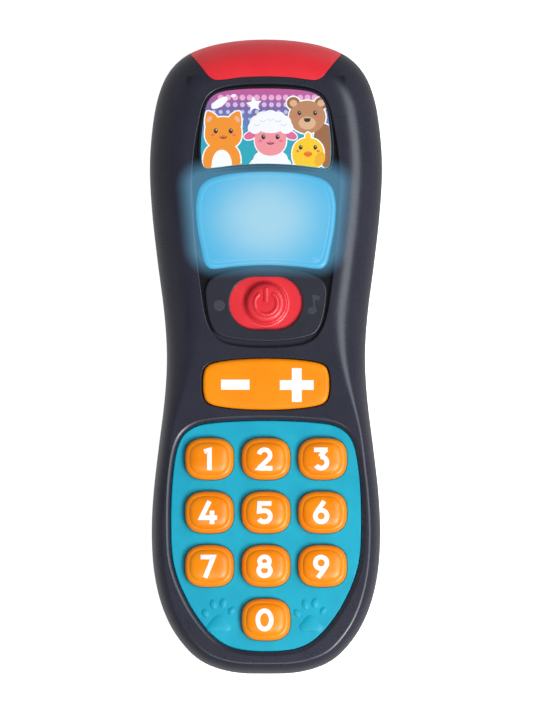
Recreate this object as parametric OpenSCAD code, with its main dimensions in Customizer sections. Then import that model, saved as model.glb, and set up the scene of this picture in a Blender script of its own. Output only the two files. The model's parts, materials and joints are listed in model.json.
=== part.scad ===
// Toy remote-control handset with ten number keys, a volume rocker, a mode slider and a light panel.
// It lies on its back: +Z points out of the face, +Y towards the red cap, origin under its middle.

/* [Body] */
// Length of the handset
body_l = 170; // [160:1:180]
// Height of the seam between the two housings
seam_z = 12; // [11.5:0.1:12.5]
// Height of the face's flat crest
face_z = 25; // [24.9:0.05:25.2]
// Wall thickness of both housings
wall = 2; // [1.8:0.1:2.2]
// Width of the rolled edge beside the console
roll_head = 10.4; // [9.5:0.1:10.6]
// Width of the rolled edge beside the keypad
roll_keys = 3.4; // [3:0.1:3.8]
// Width of the rolled edge round the back
roll_back = 6.5; // [6:0.1:6.6]

/* [Console] */
// Depth of the console recess below the face
recess_depth = 1.4; // [1.2:0.1:1.5]
// Thickness of the console floor
floor_t = 2; // [1.8:0.1:2]
// Top of the light panel
panel_z = 24.8; // [24.6:0.1:25]

/* [Keys] */
// Width of one number key
key_w = 13.1; // [12.5:0.1:13.2]
// Height of one number key, along the handset
key_h = 11.3; // [10.5:0.1:11.5]
// Distance between key columns
pitch_x = 15.1; // [15:0.05:15.3]
// Distance between key rows
pitch_y = 14.3; // [14.1:0.05:14.4]
// How far a key travels
key_travel = 1.2; // [0.8:0.1:1.2]
// Height of a key's crown
key_top = 27.6; // [27:0.1:28]

/* [Slider and rocker] */
// Travel of the mode slider each way
slide_travel = 2.5; // [2:0.1:2.5]
// Radius of the slider's round knob
knob_r = 5.5; // [5:0.1:5.8]
// Top of the volume rocker
rocker_top = 25.7; // [25.3:0.1:26]
// Height of the rocker's pivot
pivot_z = 21.4; // [21.2:0.1:21.5]

/* [Batteries] */
// Radius of a AAA cell
cell_r = 5.25; // [5.1:0.05:5.25]
// Length of a AAA cell with its cap
cell_l = 44.5; // [44:0.1:44.5]

/* [Hidden] */
$fn = 48;

black = "#34343e";
red = "#e6353d";
orange = "#f69818";
teal = "#2ab2cc";

steps = 3;                       // spline points from one control point to the next
roll_power = 2.3;                // squareness of the rolled edges
gap = 0.15;                      // clearance round a fixed piece in its opening

// Half outlines, from the middle of the top edge clockwise to the middle of the bottom edge
body_half = [[0, 85], [8.5, 84.5], [16.2, 82.9], [22.2, 80.1], [26.5, 75.4], [29.2, 68.5],
    [30.7, 59], [31.15, 49], [30.4, 37], [28.9, 24], [27.3, 11.5], [26.6, 0], [27.2, -11.5],
    [28.8, -24.5], [30.2, -37], [30.65, -48], [29.9, -58.5], [27.6, -67.7], [23.6, -75.4],
    [17.6, -81.5], [9.4, -84.5], [0, -85]];
console_half = [[0, 72.8], [7, 72.5], [12, 71.6], [15.2, 69.8], [17, 66.5], [18, 62], [18.9, 57],
    [19.6, 50], [19.7, 44.6], [19.4, 38], [18.9, 31], [18.2, 24.6], [17.4, 18.5], [16.5, 12.5],
    [15.2, 8], [12.8, 4.7], [8.5, 3], [0, 2.4]];
picture_half = [[0, 71.5], [6, 71.35], [11, 70.8], [13.8, 69.8], [15.6, 67.8], [16.5, 64.5],
    [17.1, 60], [17.4, 56], [17.3, 53], [16.9, 51], [15.8, 50.2], [13.5, 50.35], [7, 51.1],
    [0, 51.4]];
light_half = [[0, 49.2], [7, 48.9], [12.2, 48.1], [15.6, 46.9], [17.6, 44.8], [18.4, 41.5],
    [18.5, 38.8], [18.1, 34], [17.2, 29.2], [16.4, 25.6], [15.4, 24], [13.6, 23.55], [8, 24.2],
    [0, 24.6]];
plate_half = [[0, 23.7], [6, 23.3], [11, 22.3], [14.4, 20.9], [15.9, 18.9], [16.2, 16.5],
    [15.7, 12.3], [14.8, 8.8], [13.2, 6.3], [10, 5], [5, 4.2], [0, 4]];
keypad_half = [[0, -17.1], [8, -17.3], [14.5, -17.8], [18.7, -18.7], [22, -21], [23.8, -25],
    [24.8, -31], [25.3, -38], [25.4, -45], [25.2, -51.5], [24.4, -56.5], [22.4, -62.2],
    [18.9, -68.7], [14, -74.6], [8.5, -77.8], [0, -78.7]];
cap_half = [[0, 95], [28, 92], [24, 85.5], [20.4, 81], [17.4, 77.4], [15.2, 74.7], [13.4, 73.8],
    [11, 73.9], [6, 74.5], [0, 74.7]];
rocker_quarter = [[0, 6.85], [6, 6.68], [11, 6.2], [14.4, 5.5], [16.1, 4.3], [16.75, 2.2]];

recess_z = face_z - recess_depth;
under_z = recess_z - floor_t;
rocker_y = -7.35;
slider_y = 14.2;
hole_x = 9.8;                    // half length of the slider's opening
hole_y = 7.05;
skirt_x = hole_x + slide_travel + 0.7;
skirt_y = 7.6;
skirt_z = [recess_z - 0.95, recess_z + 0.3];
plate_top = 24.9;
keypad_z = [21.6, 24];           // underside and top of the keypad panel
board_z = [15.4, 17];
mat_t = 0.9;
dome_top = 19.5;
stem_z = dome_top + 0.1;
screw_spots = [[20, 60], [18.6, 20.4], [12.5, -69.5]];
board_spots = [[21.6, 46], [pitch_x / 2, -48.75]];
speaker_y = 58;
speaker_r = 14;
cell_x = 5.75;
cell_z = 7.35;
bay_x = 11.4;
bay_y = [-42.3, 5];
bay_top = 12.8;
door_x = 15;
door_y = [-45, 14.5];
door_z = [0.2, 1.8];
bead_r = (door_z[1] - door_z[0]) / 2;   // the door's round edge turns in the recess
door_screw_y = 10;
plate_w = 8.6;                   // width of a battery contact plate
spring_len = 1.33;

function mirrored(half) = concat(half,
    [for (i = [len(half) - 2:-1:1]) [-half[i][0], half[i][1]]]);
function both_ways(q) = concat(q, [[16.85, 0]], [for (i = [len(q) - 1:-1:0]) [q[i][0], -q[i][1]]]);
function at(p, i) = p[(i + len(p)) % len(p)];
function catmull(a, b, c, d, t) = 0.5 * (2 * b + (c - a) * t + (2 * a - 5 * b + 4 * c - d) * t * t
    + (3 * b - a - 3 * c + d) * t * t * t);
function spline(p) = [for (i = [0:len(p) - 1], k = [0:steps - 1])
    catmull(at(p, i - 1), at(p, i), at(p, i + 1), at(p, i + 2), k / steps)];
function outline(half) = spline(mirrored(half));
function unit(v) = v / norm(v);
function inward(p, i) = let (t = unit(at(p, i + 1) - at(p, i - 1))) [t[1], -t[0]];
function inset(p, d) = [for (i = [0:len(p) - 1]) p[i] + inward(p, i) * d];
function smooth(t) = let (c = min(max(t, 0), 1)) c * c * (3 - 2 * c);
function roll(y) = roll_keys + (roll_head - roll_keys) * smooth((y + 22) / 36);
function bowed(a) = [1 - pow(cos(a), 2 / roll_power), pow(sin(a), 2 / roll_power)];
function squircle(a, b, n, count) = [for (i = [0:count - 1]) let (t = 90 - 360 * i / count)
    [a * sign(cos(t)) * pow(abs(cos(t)), 2 / n), b * sign(sin(t)) * pow(abs(sin(t)), 2 / n)]];
function raised(p, z) = [for (q = p) [q[0], q[1], z]];
function shrunk(p, f) = let (c = middle(p)) [for (q = p) c + (q - c) * f];
function middle(ring) = let (s = [for (q = ring) 1] * ring) s / len(ring);

// A closed solid through rings of points, each of the same count, with a fan over both ends
module loft(rings, crown = 0) {
    n = len(rings[0]);
    last = len(rings) - 1;
    points = concat([for (r = rings) each r],
        [middle(rings[0]), middle(rings[last]) + [0, 0, crown]]);
    sides = [for (r = [0:last - 1], i = [0:n - 1]) let (a = r * n + i, b = r * n + (i + 1) % n)
        each [[a, b + n, a + n], [a, b, b + n]]];
    low = [for (i = [0:n - 1]) [(last + 1) * n, (i + 1) % n, i]];
    high = [for (i = [0:n - 1]) [(last + 1) * n + 1, last * n + i, last * n + (i + 1) % n]];
    polyhedron(points, concat(sides, low, high));
}

// A prism on an outline between two heights
module slab(p, z0, z1) {
    translate([0, 0, z0]) linear_extrude(z1 - z0) polygon(p);
}

module both_sides(spots) {
    for (s = spots, side = [-1, 1]) translate([side * s[0], s[1], 0]) children();
}

module stadium(half_x, half_y, z0, z1) {
    translate([0, slider_y, z0]) linear_extrude(z1 - z0) {
        square([2 * (half_x - half_y), 2 * half_y], center = true);
        for (side = [-1, 1]) translate([side * (half_x - half_y), 0]) circle(half_y);
    }
}

// ---- housings ----

body_outline = outline(body_half);

function roll_ring(extra, a, base, rise, back = false) = let (b = bowed(a))
    [for (i = [0:len(body_outline) - 1]) let (p = body_outline[i],
        w = back ? roll_back : roll(p[1]), q = p + inward(body_outline, i) * (extra + w * b[0]))
        [q[0], q[1], base + rise * b[1]]];

module front_skin(extra, z0, z1) {
    loft([for (a = [0:15:90]) roll_ring(extra, a, z0, z1 - z0)]);
}

module back_skin(extra, z0, z1) {
    loft([for (a = [90:-15:0]) roll_ring(extra, a, z0, z1 - z0, true)]);
}

module front_shell() {
    difference() {
        front_skin(0, seam_z, face_z);
        translate([0, 0, -0.01]) front_skin(wall, seam_z, face_z - wall);
    }
}

module cap_zone(grow) {
    slab(inset(outline(cap_half), grow), seam_z + 0.6, face_z + 2);
}

module rocker_lugs() {
    for (y = [[-15.9, -14.75], [0.05, 1.9]])
        translate([-3, y[0], 19.6]) cube([6, y[1] - y[0], face_z - wall - 19.6 + 0.1]);
}

module front_housing() {
    console = outline(console_half);
    keypad = outline(keypad_half);
    color(black) difference() {
        union() {
            front_shell();
            slab(inset(console, -1.8), under_z, face_z - 0.5);
            rocker_lugs();
            both_sides([screw_spots[0]]) translate([0, 0, seam_z + 0.4])
                cylinder(r = 3.2, h = face_z - 2.5 - seam_z);
            both_sides([screw_spots[1]]) translate([0, 0, seam_z + 0.4])
                cylinder(r = 3.2, h = under_z + 0.5 - seam_z);
            both_sides([board_spots[0]]) translate([0, 0, board_z[1]])
                cylinder(r = 2, h = face_z - wall + 0.1 - board_z[1]);
        }
        difference() {
            slab(console, recess_z, face_z + 1);
            slab(inset(outline(picture_half), -0.7), recess_z - 1, recess_z + 0.6);
        }
        cap_zone(-0.05);
        slab(inset(outline(light_half), -gap), under_z - 1, face_z);
        stadium(skirt_x + slide_travel + 0.2, skirt_y + 0.2, recess_z - 1, face_z);
        stadium(6.6, 3.2, under_z - 1, recess_z);
        translate([0, rocker_y, 0]) slab(inset(spline(mirrored(both_ways(rocker_quarter))), -0.45),
            face_z - wall - 1, face_z + 1);
        slab(inset(keypad, -gap), face_z - wall - 3, face_z + 1);
        loft([raised(inset(keypad, -gap), keypad_z[1] + 0.05), raised(inset(keypad, -1.5), face_z + 0.1)]);
        translate([0, 2, pivot_z]) rotate([90, 0, 0]) cylinder(r = 1.26, h = 18);
        both_sides([screw_spots[0], screw_spots[1]]) translate([0, 0, seam_z])
            cylinder(r = 1.3, h = 7.5);
        both_sides([board_spots[0]]) translate([0, 0, board_z[1] - 1]) cylinder(r = 0.85, h = 4.6);
    }
}

module grille_holes() {
    for (ring = [0:3], k = [0:max(ring * 6 - 1, 0)])
        translate([0, speaker_y, -1]) rotate(360 * k / max(ring * 6, 1)) translate([ring * 3.1, 0, 0])
            cylinder(r = 0.9, h = 4, $fn = 24);
}

module rear_housing() {
    ledge = [-door_x - 2, door_y[0] - 4, door_y[1] + 2];
    color(black) difference() {
        union() {
            difference() {
                back_skin(0, seam_z, 0);
                translate([0, 0, 0.01]) back_skin(wall, seam_z, wall);
            }
            translate([ledge[0], ledge[1], door_z[1] - 0.8])
                cube([-2 * ledge[0], ledge[2] - ledge[1], 2.4]);
            translate([-bay_x - 1.6, bay_y[0] - 1.5, 2])
                cube([2 * bay_x + 3.2, bay_y[1] - bay_y[0] + 3, bay_top - 0.5]);
            translate([0, door_screw_y, 2]) cylinder(r = 3.2, h = 7);
            both_sides(screw_spots) translate([0, 0, 1.4]) cylinder(r = 4.1, h = seam_z - 1.2);
            translate([0, speaker_y, 1]) cylinder(r = speaker_r + 1.5, h = 2.6);
        }
        translate([-bay_x, bay_y[0], -1]) cube([2 * bay_x, bay_y[1] - bay_y[0], bay_top + 1]);
        translate([-door_x - 0.3, door_y[0] - 0.35, -1])
            cube([2 * door_x + 0.6, door_y[1] - door_y[0] + 0.65, door_z[1] + 1.1]);
        for (side = [-1, 1]) translate([side * 8 - 2.3, door_y[0] - 2.6, 0.95])
            cube([4.6, 4, 4]);
        translate([0, door_screw_y, 1]) cylinder(r = 1.9, h = 6.8);
        both_sides(screw_spots) translate([0, 0, -1]) cylinder(r = 2.9, h = 8.5);
        both_sides(screw_spots) translate([0, 0, 0]) cylinder(r = 1.5, h = 14);
        translate([0, speaker_y, wall]) cylinder(r = speaker_r + 0.1, h = 4);
        grille_holes();
        for (side = [-1, 1]) translate([side * cell_x - 1.7, bay_y[1] - 0.1, 9.7])
            cube([3.4, 3, 1]);
    }
}

module signal_cap() {
    color(red) intersection() {
        front_shell();
        cap_zone(0.05);
    }
}

// ---- console ----

module picture_label() {
    color("white") slab(outline(picture_half), recess_z + 0.6, recess_z + 0.85);
}

module light_panel() {
    p = outline(light_half);
    color("#5cc0ea") difference() {
        union() {
            loft([raised(p, under_z - 0.1), raised(p, panel_z - 0.6), raised(inset(p, 0.5), panel_z - 0.15),
                raised(inset(p, 1.4), panel_z)], 0.35);
            slab(inset(p, -1.1), under_z - 1, under_z - 0.05);
        }
        slab(inset(p, 1.5), under_z - 2, under_z + 1.2);
    }
}

module switch_plate() {
    color(black) difference() {
        slab(outline(plate_half), recess_z, plate_top);
        stadium(skirt_x + slide_travel + 0.2, skirt_y + 0.2, recess_z - 1, recess_z + 0.4);
        stadium(hole_x, hole_y, recess_z, face_z + 1);
    }
}

module power_slider() {
    color(red) {
        stadium(skirt_x, skirt_y, skirt_z[0], skirt_z[1]);
        translate([0, slider_y, skirt_z[1] - 0.1]) cylinder(r1 = knob_r, r2 = knob_r - 0.7, h = 2.9);
        difference() {
            translate([-2.3, slider_y - 2.3, 19.3]) cube([4.6, 4.6, skirt_z[0] - 19.2]);
            translate([-1.05, slider_y - 1.05, 19]) cube([2.1, 2.1, 2.1]);
        }
    }
}

module switch_lever() {
    color("white") translate([-1, slider_y - 1, 17.7]) cube([2, 2, 3.3]);
}

module slide_switch() {
    color("silver") translate([0, slider_y, 0]) difference() {
        translate([-6.2, -3.2, board_z[1]]) cube([12.4, 6.4, 1.9]);
        translate([-3.7, -1.15, board_z[1] + 0.5]) cube([7.4, 2.3, 3]);
    }
}

// ---- keypad ----

function key_spot(n) = n == 0 ? [0, -27.3 - 3 * pitch_y]
    : [((n - 1) % 3 - 1) * pitch_x, -27.3 - floor((n - 1) / 3) * pitch_y];

module key_hole() {
    slab(squircle(key_w / 2 + 0.3, key_h / 2 + 0.3, 3.4, 40), keypad_z[0] - 1, keypad_z[1] + 1);
}

module keypad_panel() {
    p = outline(keypad_half);
    color(teal) difference() {
        union() {
            slab(p, keypad_z[0], keypad_z[1]);
            slab(inset(p, -0.6), keypad_z[0], keypad_z[0] + 0.8);
            both_sides([screw_spots[2]]) translate([0, 0, seam_z + 0.4])
                cylinder(r = 3.2, h = keypad_z[0] - seam_z);
            both_sides([board_spots[1]]) translate([0, 0, board_z[1]])
                cylinder(r = 1.7, h = keypad_z[0] + 0.2 - board_z[1]);
        }
        for (n = [0:9]) translate(key_spot(n)) key_hole();
        both_sides([screw_spots[2]]) translate([0, 0, seam_z]) cylinder(r = 1.3, h = 7.5);
        both_sides([board_spots[1]]) translate([0, 0, board_z[1] - 1]) cylinder(r = 0.85, h = 4.6);
    }
}

module key(n) {
    p = squircle(key_w / 2, key_h / 2, 3.4, 32);
    color(orange) translate(key_spot(n)) {
        loft([raised(p, keypad_z[0] - 0.1), raised(inset(p, 0.1), key_top - 1.9),
            raised(inset(p, 0.7), key_top - 1.1), raised(inset(p, 1.7), key_top - 0.5),
            raised(inset(p, 3.4), key_top - 0.15)], 0.15);
        slab(squircle(key_w / 2 + 0.7, key_h / 2 + 0.7, 3.4, 32), keypad_z[0] - 0.85, keypad_z[0] - 0.05);
        translate([0, 0, stem_z]) cylinder(r = 2.2, h = keypad_z[0] - 0.8 - stem_z);
    }
}

module volume_rocker() {
    p = spline(mirrored(both_ways(rocker_quarter)));
    color(orange) translate([0, rocker_y, 0]) {
        loft([raised(p, pivot_z - 1.2), raised(inset(p, 0.05), rocker_top - 1.1),
            raised(inset(p, 0.5), rocker_top - 0.5), raised(inset(p, 1.4), rocker_top - 0.2)], 0.2);
        translate([0, 8.8, pivot_z]) rotate([90, 0, 0]) cylinder(r = 1.2, h = 17.2);
        for (side = [-1, 1]) translate([side * 11, 0, stem_z]) cylinder(r = 2, h = 1);
    }
}

module dome(top_r) {
    translate([0, 0, board_z[1] + mat_t - 0.1])
        cylinder(r1 = top_r + 1.4, r2 = top_r, h = dome_top - board_z[1] - mat_t + 0.1);
}

module keypad_mat() {
    color("gainsboro") difference() {
        union() {
            slab(inset(outline(keypad_half), 2), board_z[1], board_z[1] + mat_t);
            for (n = [0:9]) translate(key_spot(n)) dome(2.4);
        }
        both_sides([screw_spots[2]]) cylinder(r = 3.6, h = 30);
        both_sides([board_spots[1]]) cylinder(r = 2.1, h = 30);
    }
}

module rocker_pad() {
    color("gainsboro") {
        translate([-15, rocker_y - 5, board_z[1]]) cube([30, 10, mat_t]);
        for (side = [-1, 1]) translate([side * 11, rocker_y, 0]) dome(2.2);
    }
}

// ---- electronics ----

module main_board() {
    color("darkgreen") difference() {
        intersection() {
            slab(inset(body_outline, 5.5), board_z[0], board_z[1]);
            translate([-40, -90, 0]) cube([80, 139, 30]);
        }
        both_sides([screw_spots[1], screw_spots[2]]) cylinder(r = 3.8, h = 30);
        both_sides(board_spots) cylinder(r = 1, h = 30);
    }
}

module sound_chip() {
    color("#151515") translate([11.5, 5.2, board_z[1] - 3.6]) intersection() {
        sphere(r = 5);
        translate([-6, -6, 3.6]) cube([12, 12, 3]);
    }
}

module capacitor() {
    color("#26263a") translate([-11.5, 5.2, board_z[1]]) cylinder(r = 2.5, h = 4.2);
}

module board_resistors() {
    color("#2b2b2b") for (k = [0:3]) translate([-6 + 3.4 * k, 1.6, board_z[1]]) cube([1.6, 2.4, 0.6]);
}

module panel_leds() {
    color("lightblue") for (side = [-1, 1]) translate([side * 8, 36.5, board_z[1]]) {
        cylinder(r = 1.9, h = 0.9);
        cylinder(r = 1.5, h = 2);
        translate([0, 0, 2]) intersection() {
            sphere(r = 1.5);
            translate([-2, -2, 0]) cube(4);
        }
    }
}

module light_baffle() {
    p = outline(light_half);
    color("white") difference() {
        slab(inset(p, 0.8), board_z[1], under_z - 1.05);
        slab(shrunk(p, 0.86), board_z[1] - 1, under_z);
    }
}

module speaker_frame() {
    color("silver") translate([0, speaker_y, wall + 0.05]) difference() {
        rotate_extrude() polygon([[9, 0], [speaker_r, 0], [speaker_r, 1], [12.4, 1.3], [9.5, 3.4],
            [7.6, 3.4], [7.6, 2.8], [9, 2.8], [11.6, 0.8], [9, 0.8]]);
    }
}

module speaker_cone() {
    color("#202024") translate([0, speaker_y, wall + 0.9]) rotate_extrude()
        polygon([[0, 1.2], [3, 1], [9, 0.05], [11.1, 0.05], [9, 0.6], [3.6, 1.6], [0, 1.8]]);
}

module speaker_magnet() {
    color("dimgray") translate([0, speaker_y, wall + 3.5]) {
        cylinder(r = 8.6, h = 0.8);
        cylinder(r = 7.4, h = 2.8);
    }
}

module speaker_ring() {
    color("white") translate([0, speaker_y, wall + 1.7]) difference() {
        cylinder(r = speaker_r + 1.4, h = 1.2);
        translate([0, 0, -1]) cylinder(r = 12.6, h = 4);
    }
}

// ---- power ----

// One cell standing on its flat end, laid along +Y or -Y
module cell(way) {
    color("#3f7f4f") translate([0, (bay_y[0] + bay_y[1] - way * (cell_l - 2)) / 2, 0])
        rotate([-90 * way, 0, 0]) {
            cylinder(r = cell_r, h = cell_l - 0.8);
            cylinder(r = 1.9, h = cell_l);
        }
}

module battery_left() {
    translate([-cell_x, 0, cell_z]) cell(1);
}

module battery_right() {
    translate([cell_x, 0, cell_z]) cell(-1);
}

function coil(turns, r0, r1, length, count) = [for (i = [0:count]) let (t = i / count)
    [(r0 + (r1 - r0) * t) * cos(360 * turns * t), (r0 + (r1 - r0) * t) * sin(360 * turns * t), length * t]];

// A round wire along a path: one ring of points at each point of the path
module wire(path, r, sides) {
    last = len(path) - 1;
    function along(i) = unit(path[min(i + 1, last)] - path[max(i - 1, 0)]);
    function across(t) = unit(cross(t, abs(t[2]) < 0.9 ? [0, 0, 1] : [1, 0, 0]));
    loft([for (i = [0:last]) let (t = along(i), u = across(t), v = cross(t, u))
        [for (k = [0:sides - 1]) path[i] + r * (cos(-360 * k / sides) * u + sin(-360 * k / sides) * v)]]);
}

module battery_springs() {
    color("silver") for (way = [-1, 1])
        translate([way * cell_x, way > 0 ? bay_y[1] - 0.75 : bay_y[0] + 0.75, cell_z])
            rotate([90 * way, 0, 0]) wire(coil(2.5, 3.2, 1.9, spring_len, 40), 0.3, 6);
}

module battery_contacts() {
    color("silver") {
        for (side = [-1, 1]) translate([side * cell_x - plate_w / 2, bay_y[1] - 0.4, 3]) {
            cube([plate_w, 0.35, 8.2]);
            translate([plate_w / 2 - 1.5, 0.1, 7]) cube([3, 2.5, 0.4]);
        }
        translate([-cell_x - plate_w / 2, bay_y[0] + 0.05, 3]) cube([2 * cell_x + plate_w, 0.35, 8.2]);
    }
}

module battery_door() {
    color(black) difference() {
        union() {
            translate([-door_x, door_y[0] + bead_r, door_z[0]])
                cube([2 * door_x, door_y[1] - door_y[0] - bead_r, 2 * bead_r]);
            translate([-door_x, door_y[0] + bead_r, door_z[0] + bead_r]) rotate([0, 90, 0])
                cylinder(r = bead_r, h = 2 * door_x);
            for (side = [-1, 1]) translate([side * 8 - 2, door_y[0] - 2, 1.05]) cube([4, 3, 0.75]);
        }
        translate([0, door_screw_y, -1]) cylinder(r = 1.6, h = 4);
        translate([0, door_screw_y, -1]) cylinder(r = 3, h = 1.95);
    }
}

module cross_slot(z, size) {
    for (turn = [0, 90]) translate([0, 0, z]) rotate(turn) cube([size, 0.5, 1.1], center = true);
}

module door_screw() {
    color("silver") translate([0, door_screw_y, 0]) difference() {
        union() {
            translate([0, 0, 0.3]) cylinder(r = 2.7, h = 0.6);
            translate([0, 0, 0.3]) cylinder(r = 1.35, h = 6.2);
        }
        cross_slot(0.2, 3.4);
    }
}

module housing_screws() {
    color("silver") both_sides(screw_spots) difference() {
        union() {
            translate([0, 0, 5.4]) cylinder(r = 2.5, h = 2.1);
            translate([0, 0, 7]) cylinder(r = 1.25, h = 12);
        }
        cross_slot(5.4, 3.4);
    }
}

module board_screws() {
    color("silver") both_sides(board_spots) {
        translate([0, 0, board_z[0] - 1]) cylinder(r = 1.7, h = 1);
        translate([0, 0, board_z[0] - 0.5]) cylinder(r = 0.8, h = 5.2);
    }
}

module battery_wires() {
    color("firebrick") for (side = [-1, 1]) wire([[side * cell_x, 7.3, 10.25], [side * cell_x, 9.1, 10.5],
        [side * 6.2, 11.2, 11.4], [side * 7, 12.8, 12.8], [side * 7.4, 13.6, 14.2],
        [side * 7.4, 13.8, board_z[0] - 0.02]], 0.5, 8);
}

module speaker_wires() {
    color("firebrick") for (side = [-1, 1]) wire([[side * 3, 48.9, 5.7], [side * 3, 48.1, 6.8],
        [side * 3.3, 46.9, 9], [side * 3.8, 45.6, 11.6], [side * 4, 45.1, 13.6],
        [side * 4, 45, board_z[0] - 0.02]], 0.5, 8);
}

front_housing();
rear_housing();
signal_cap();
picture_label();
light_panel();
switch_plate();
keypad_panel();
for (n = [0:9]) key(n);
volume_rocker();
power_slider();
switch_lever();
slide_switch();
keypad_mat();
rocker_pad();
main_board();
sound_chip();
capacitor();
board_resistors();
panel_leds();
light_baffle();
speaker_frame();
speaker_cone();
speaker_magnet();
speaker_ring();
battery_left();
battery_right();
battery_springs();
battery_contacts();
battery_door();
door_screw();
housing_screws();
board_screws();
battery_wires();
speaker_wires();
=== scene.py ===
import json
import math

import bmesh
import bpy
import numpy as np
from mathutils import Matrix, Vector


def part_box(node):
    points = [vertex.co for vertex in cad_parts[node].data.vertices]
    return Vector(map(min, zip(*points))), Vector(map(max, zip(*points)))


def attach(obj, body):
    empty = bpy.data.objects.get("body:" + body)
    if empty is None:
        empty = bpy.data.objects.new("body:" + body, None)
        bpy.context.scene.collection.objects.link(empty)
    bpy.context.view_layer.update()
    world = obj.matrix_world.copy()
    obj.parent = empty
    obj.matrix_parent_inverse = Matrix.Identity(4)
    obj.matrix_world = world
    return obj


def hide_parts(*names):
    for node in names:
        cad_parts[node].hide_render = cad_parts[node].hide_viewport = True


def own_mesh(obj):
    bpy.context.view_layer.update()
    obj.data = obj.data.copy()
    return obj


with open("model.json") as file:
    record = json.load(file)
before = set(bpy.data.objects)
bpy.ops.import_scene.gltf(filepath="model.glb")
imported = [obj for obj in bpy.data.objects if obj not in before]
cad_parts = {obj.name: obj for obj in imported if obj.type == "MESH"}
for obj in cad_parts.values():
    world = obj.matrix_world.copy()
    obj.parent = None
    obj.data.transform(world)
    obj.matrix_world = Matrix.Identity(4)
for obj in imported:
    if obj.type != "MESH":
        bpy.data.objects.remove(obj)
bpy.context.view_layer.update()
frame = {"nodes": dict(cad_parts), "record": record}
nodes = frame["nodes"]
mm = 0.001    # shapes are worked out in millimetres and turned into metres when a piece is done


# outlines: closed rows of points, anticlockwise seen from the face

def boxOf(node):
    low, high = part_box(node)
    return np.array(low) / mm, np.array(high) / mm


def circle(radius, centre=(0, 0), count=48):
    turn = np.arange(count) * 2 * math.pi / count
    return np.stack([centre[0] + radius * np.cos(turn), centre[1] + radius * np.sin(turn)], 1)


def squircle(halfWide, halfTall, power, centre=(0, 0), count=96):
    c, s = np.array(circle(1, count=count)).T
    x = halfWide * np.sign(c) * np.abs(c) ** (2 / power)
    y = halfTall * np.sign(s) * np.abs(s) ** (2 / power)
    return np.stack([centre[0] + x, centre[1] + y], 1)


def roundRect(low, high, radius, corner=8):
    points = []
    for k, (x, y) in enumerate([(high[0], high[1]), (low[0], high[1]), (low[0], low[1]), (high[0], low[1])]):
        centre = (x - radius * (1 if k in (0, 3) else -1), y - radius * (1 if k in (0, 1) else -1))
        for t in np.linspace(0, math.pi / 2, corner + 1) + k * math.pi / 2:
            points.append((centre[0] + radius * math.cos(t), centre[1] + radius * math.sin(t)))
    return np.array(points)


def area(loop):
    x, y = loop.T
    return 0.5 * float(np.sum(x * np.roll(y, -1) - y * np.roll(x, -1)))


def smoothLoop(loop, steps):
    p0, p1, p2, p3 = (np.roll(loop, k, 0) for k in (1, 0, -1, -2))
    rows = [0.5 * (2 * p1 + (p2 - p0) * t + (2 * p0 - 5 * p1 + 4 * p2 - p3) * t ** 2
                   + (3 * p1 - p0 - 3 * p2 + p3) * t ** 3) for t in np.arange(steps) / steps]
    return np.stack(rows, 1).reshape(-1, 2)


def inset(loop, depth):    # the same outline moved inwards along its normals
    along = np.roll(loop, -1, 0) - np.roll(loop, 1, 0)
    along /= np.linalg.norm(along, axis=1)[:, None]
    depth = np.reshape(depth, (-1, 1))
    return loop + np.stack([-along[:, 1], along[:, 0]], 1) * depth


def shrink(loop, depth):    # scaled towards its middle, so tight corners never cross
    low, high = loop.min(0), loop.max(0)
    middle, half = (low + high) / 2, (high - low) / 2
    return middle + (loop - middle) * (1 - depth / half)


def lift(loop, height):
    return np.c_[loop, np.full(len(loop), float(height))]


def arc(centre, radii, start, end, count=24):
    turn = np.radians(np.linspace(start, end, count + 1))
    return [(centre[0] + radii[0] * math.cos(t), centre[1] + radii[1] * math.sin(t)) for t in turn]


def loopsAt(node, height):    # the closed edges of a CAD node's flat at one height, largest first
    form = bmesh.new()
    form.from_mesh(nodes[node].data)
    bmesh.ops.remove_doubles(form, verts=form.verts, dist=2e-6)
    flat = {f for f in form.faces if all(abs(v.co.z / mm - height) < 0.02 for v in f.verts)}
    ahead = {}
    for f in flat:
        for corner in f.loops:
            if sum(g in flat for g in corner.edge.link_faces) == 1:
                ahead.setdefault(corner.vert, []).append(corner.link_loop_next.vert)
    loops = []
    while ahead:
        spot = first = next(iter(ahead))
        loop = []
        while spot in ahead:
            loop.append((spot.co.x / mm, spot.co.y / mm))
            following = ahead[spot].pop()
            if not ahead[spot]:
                del ahead[spot]
            spot = following
            if spot is first:
                break
        loop = np.array(loop)
        loops.append(loop if area(loop) > 0 else loop[::-1])
    form.free()
    return sorted(loops, key=area, reverse=True)


# meshes

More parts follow.
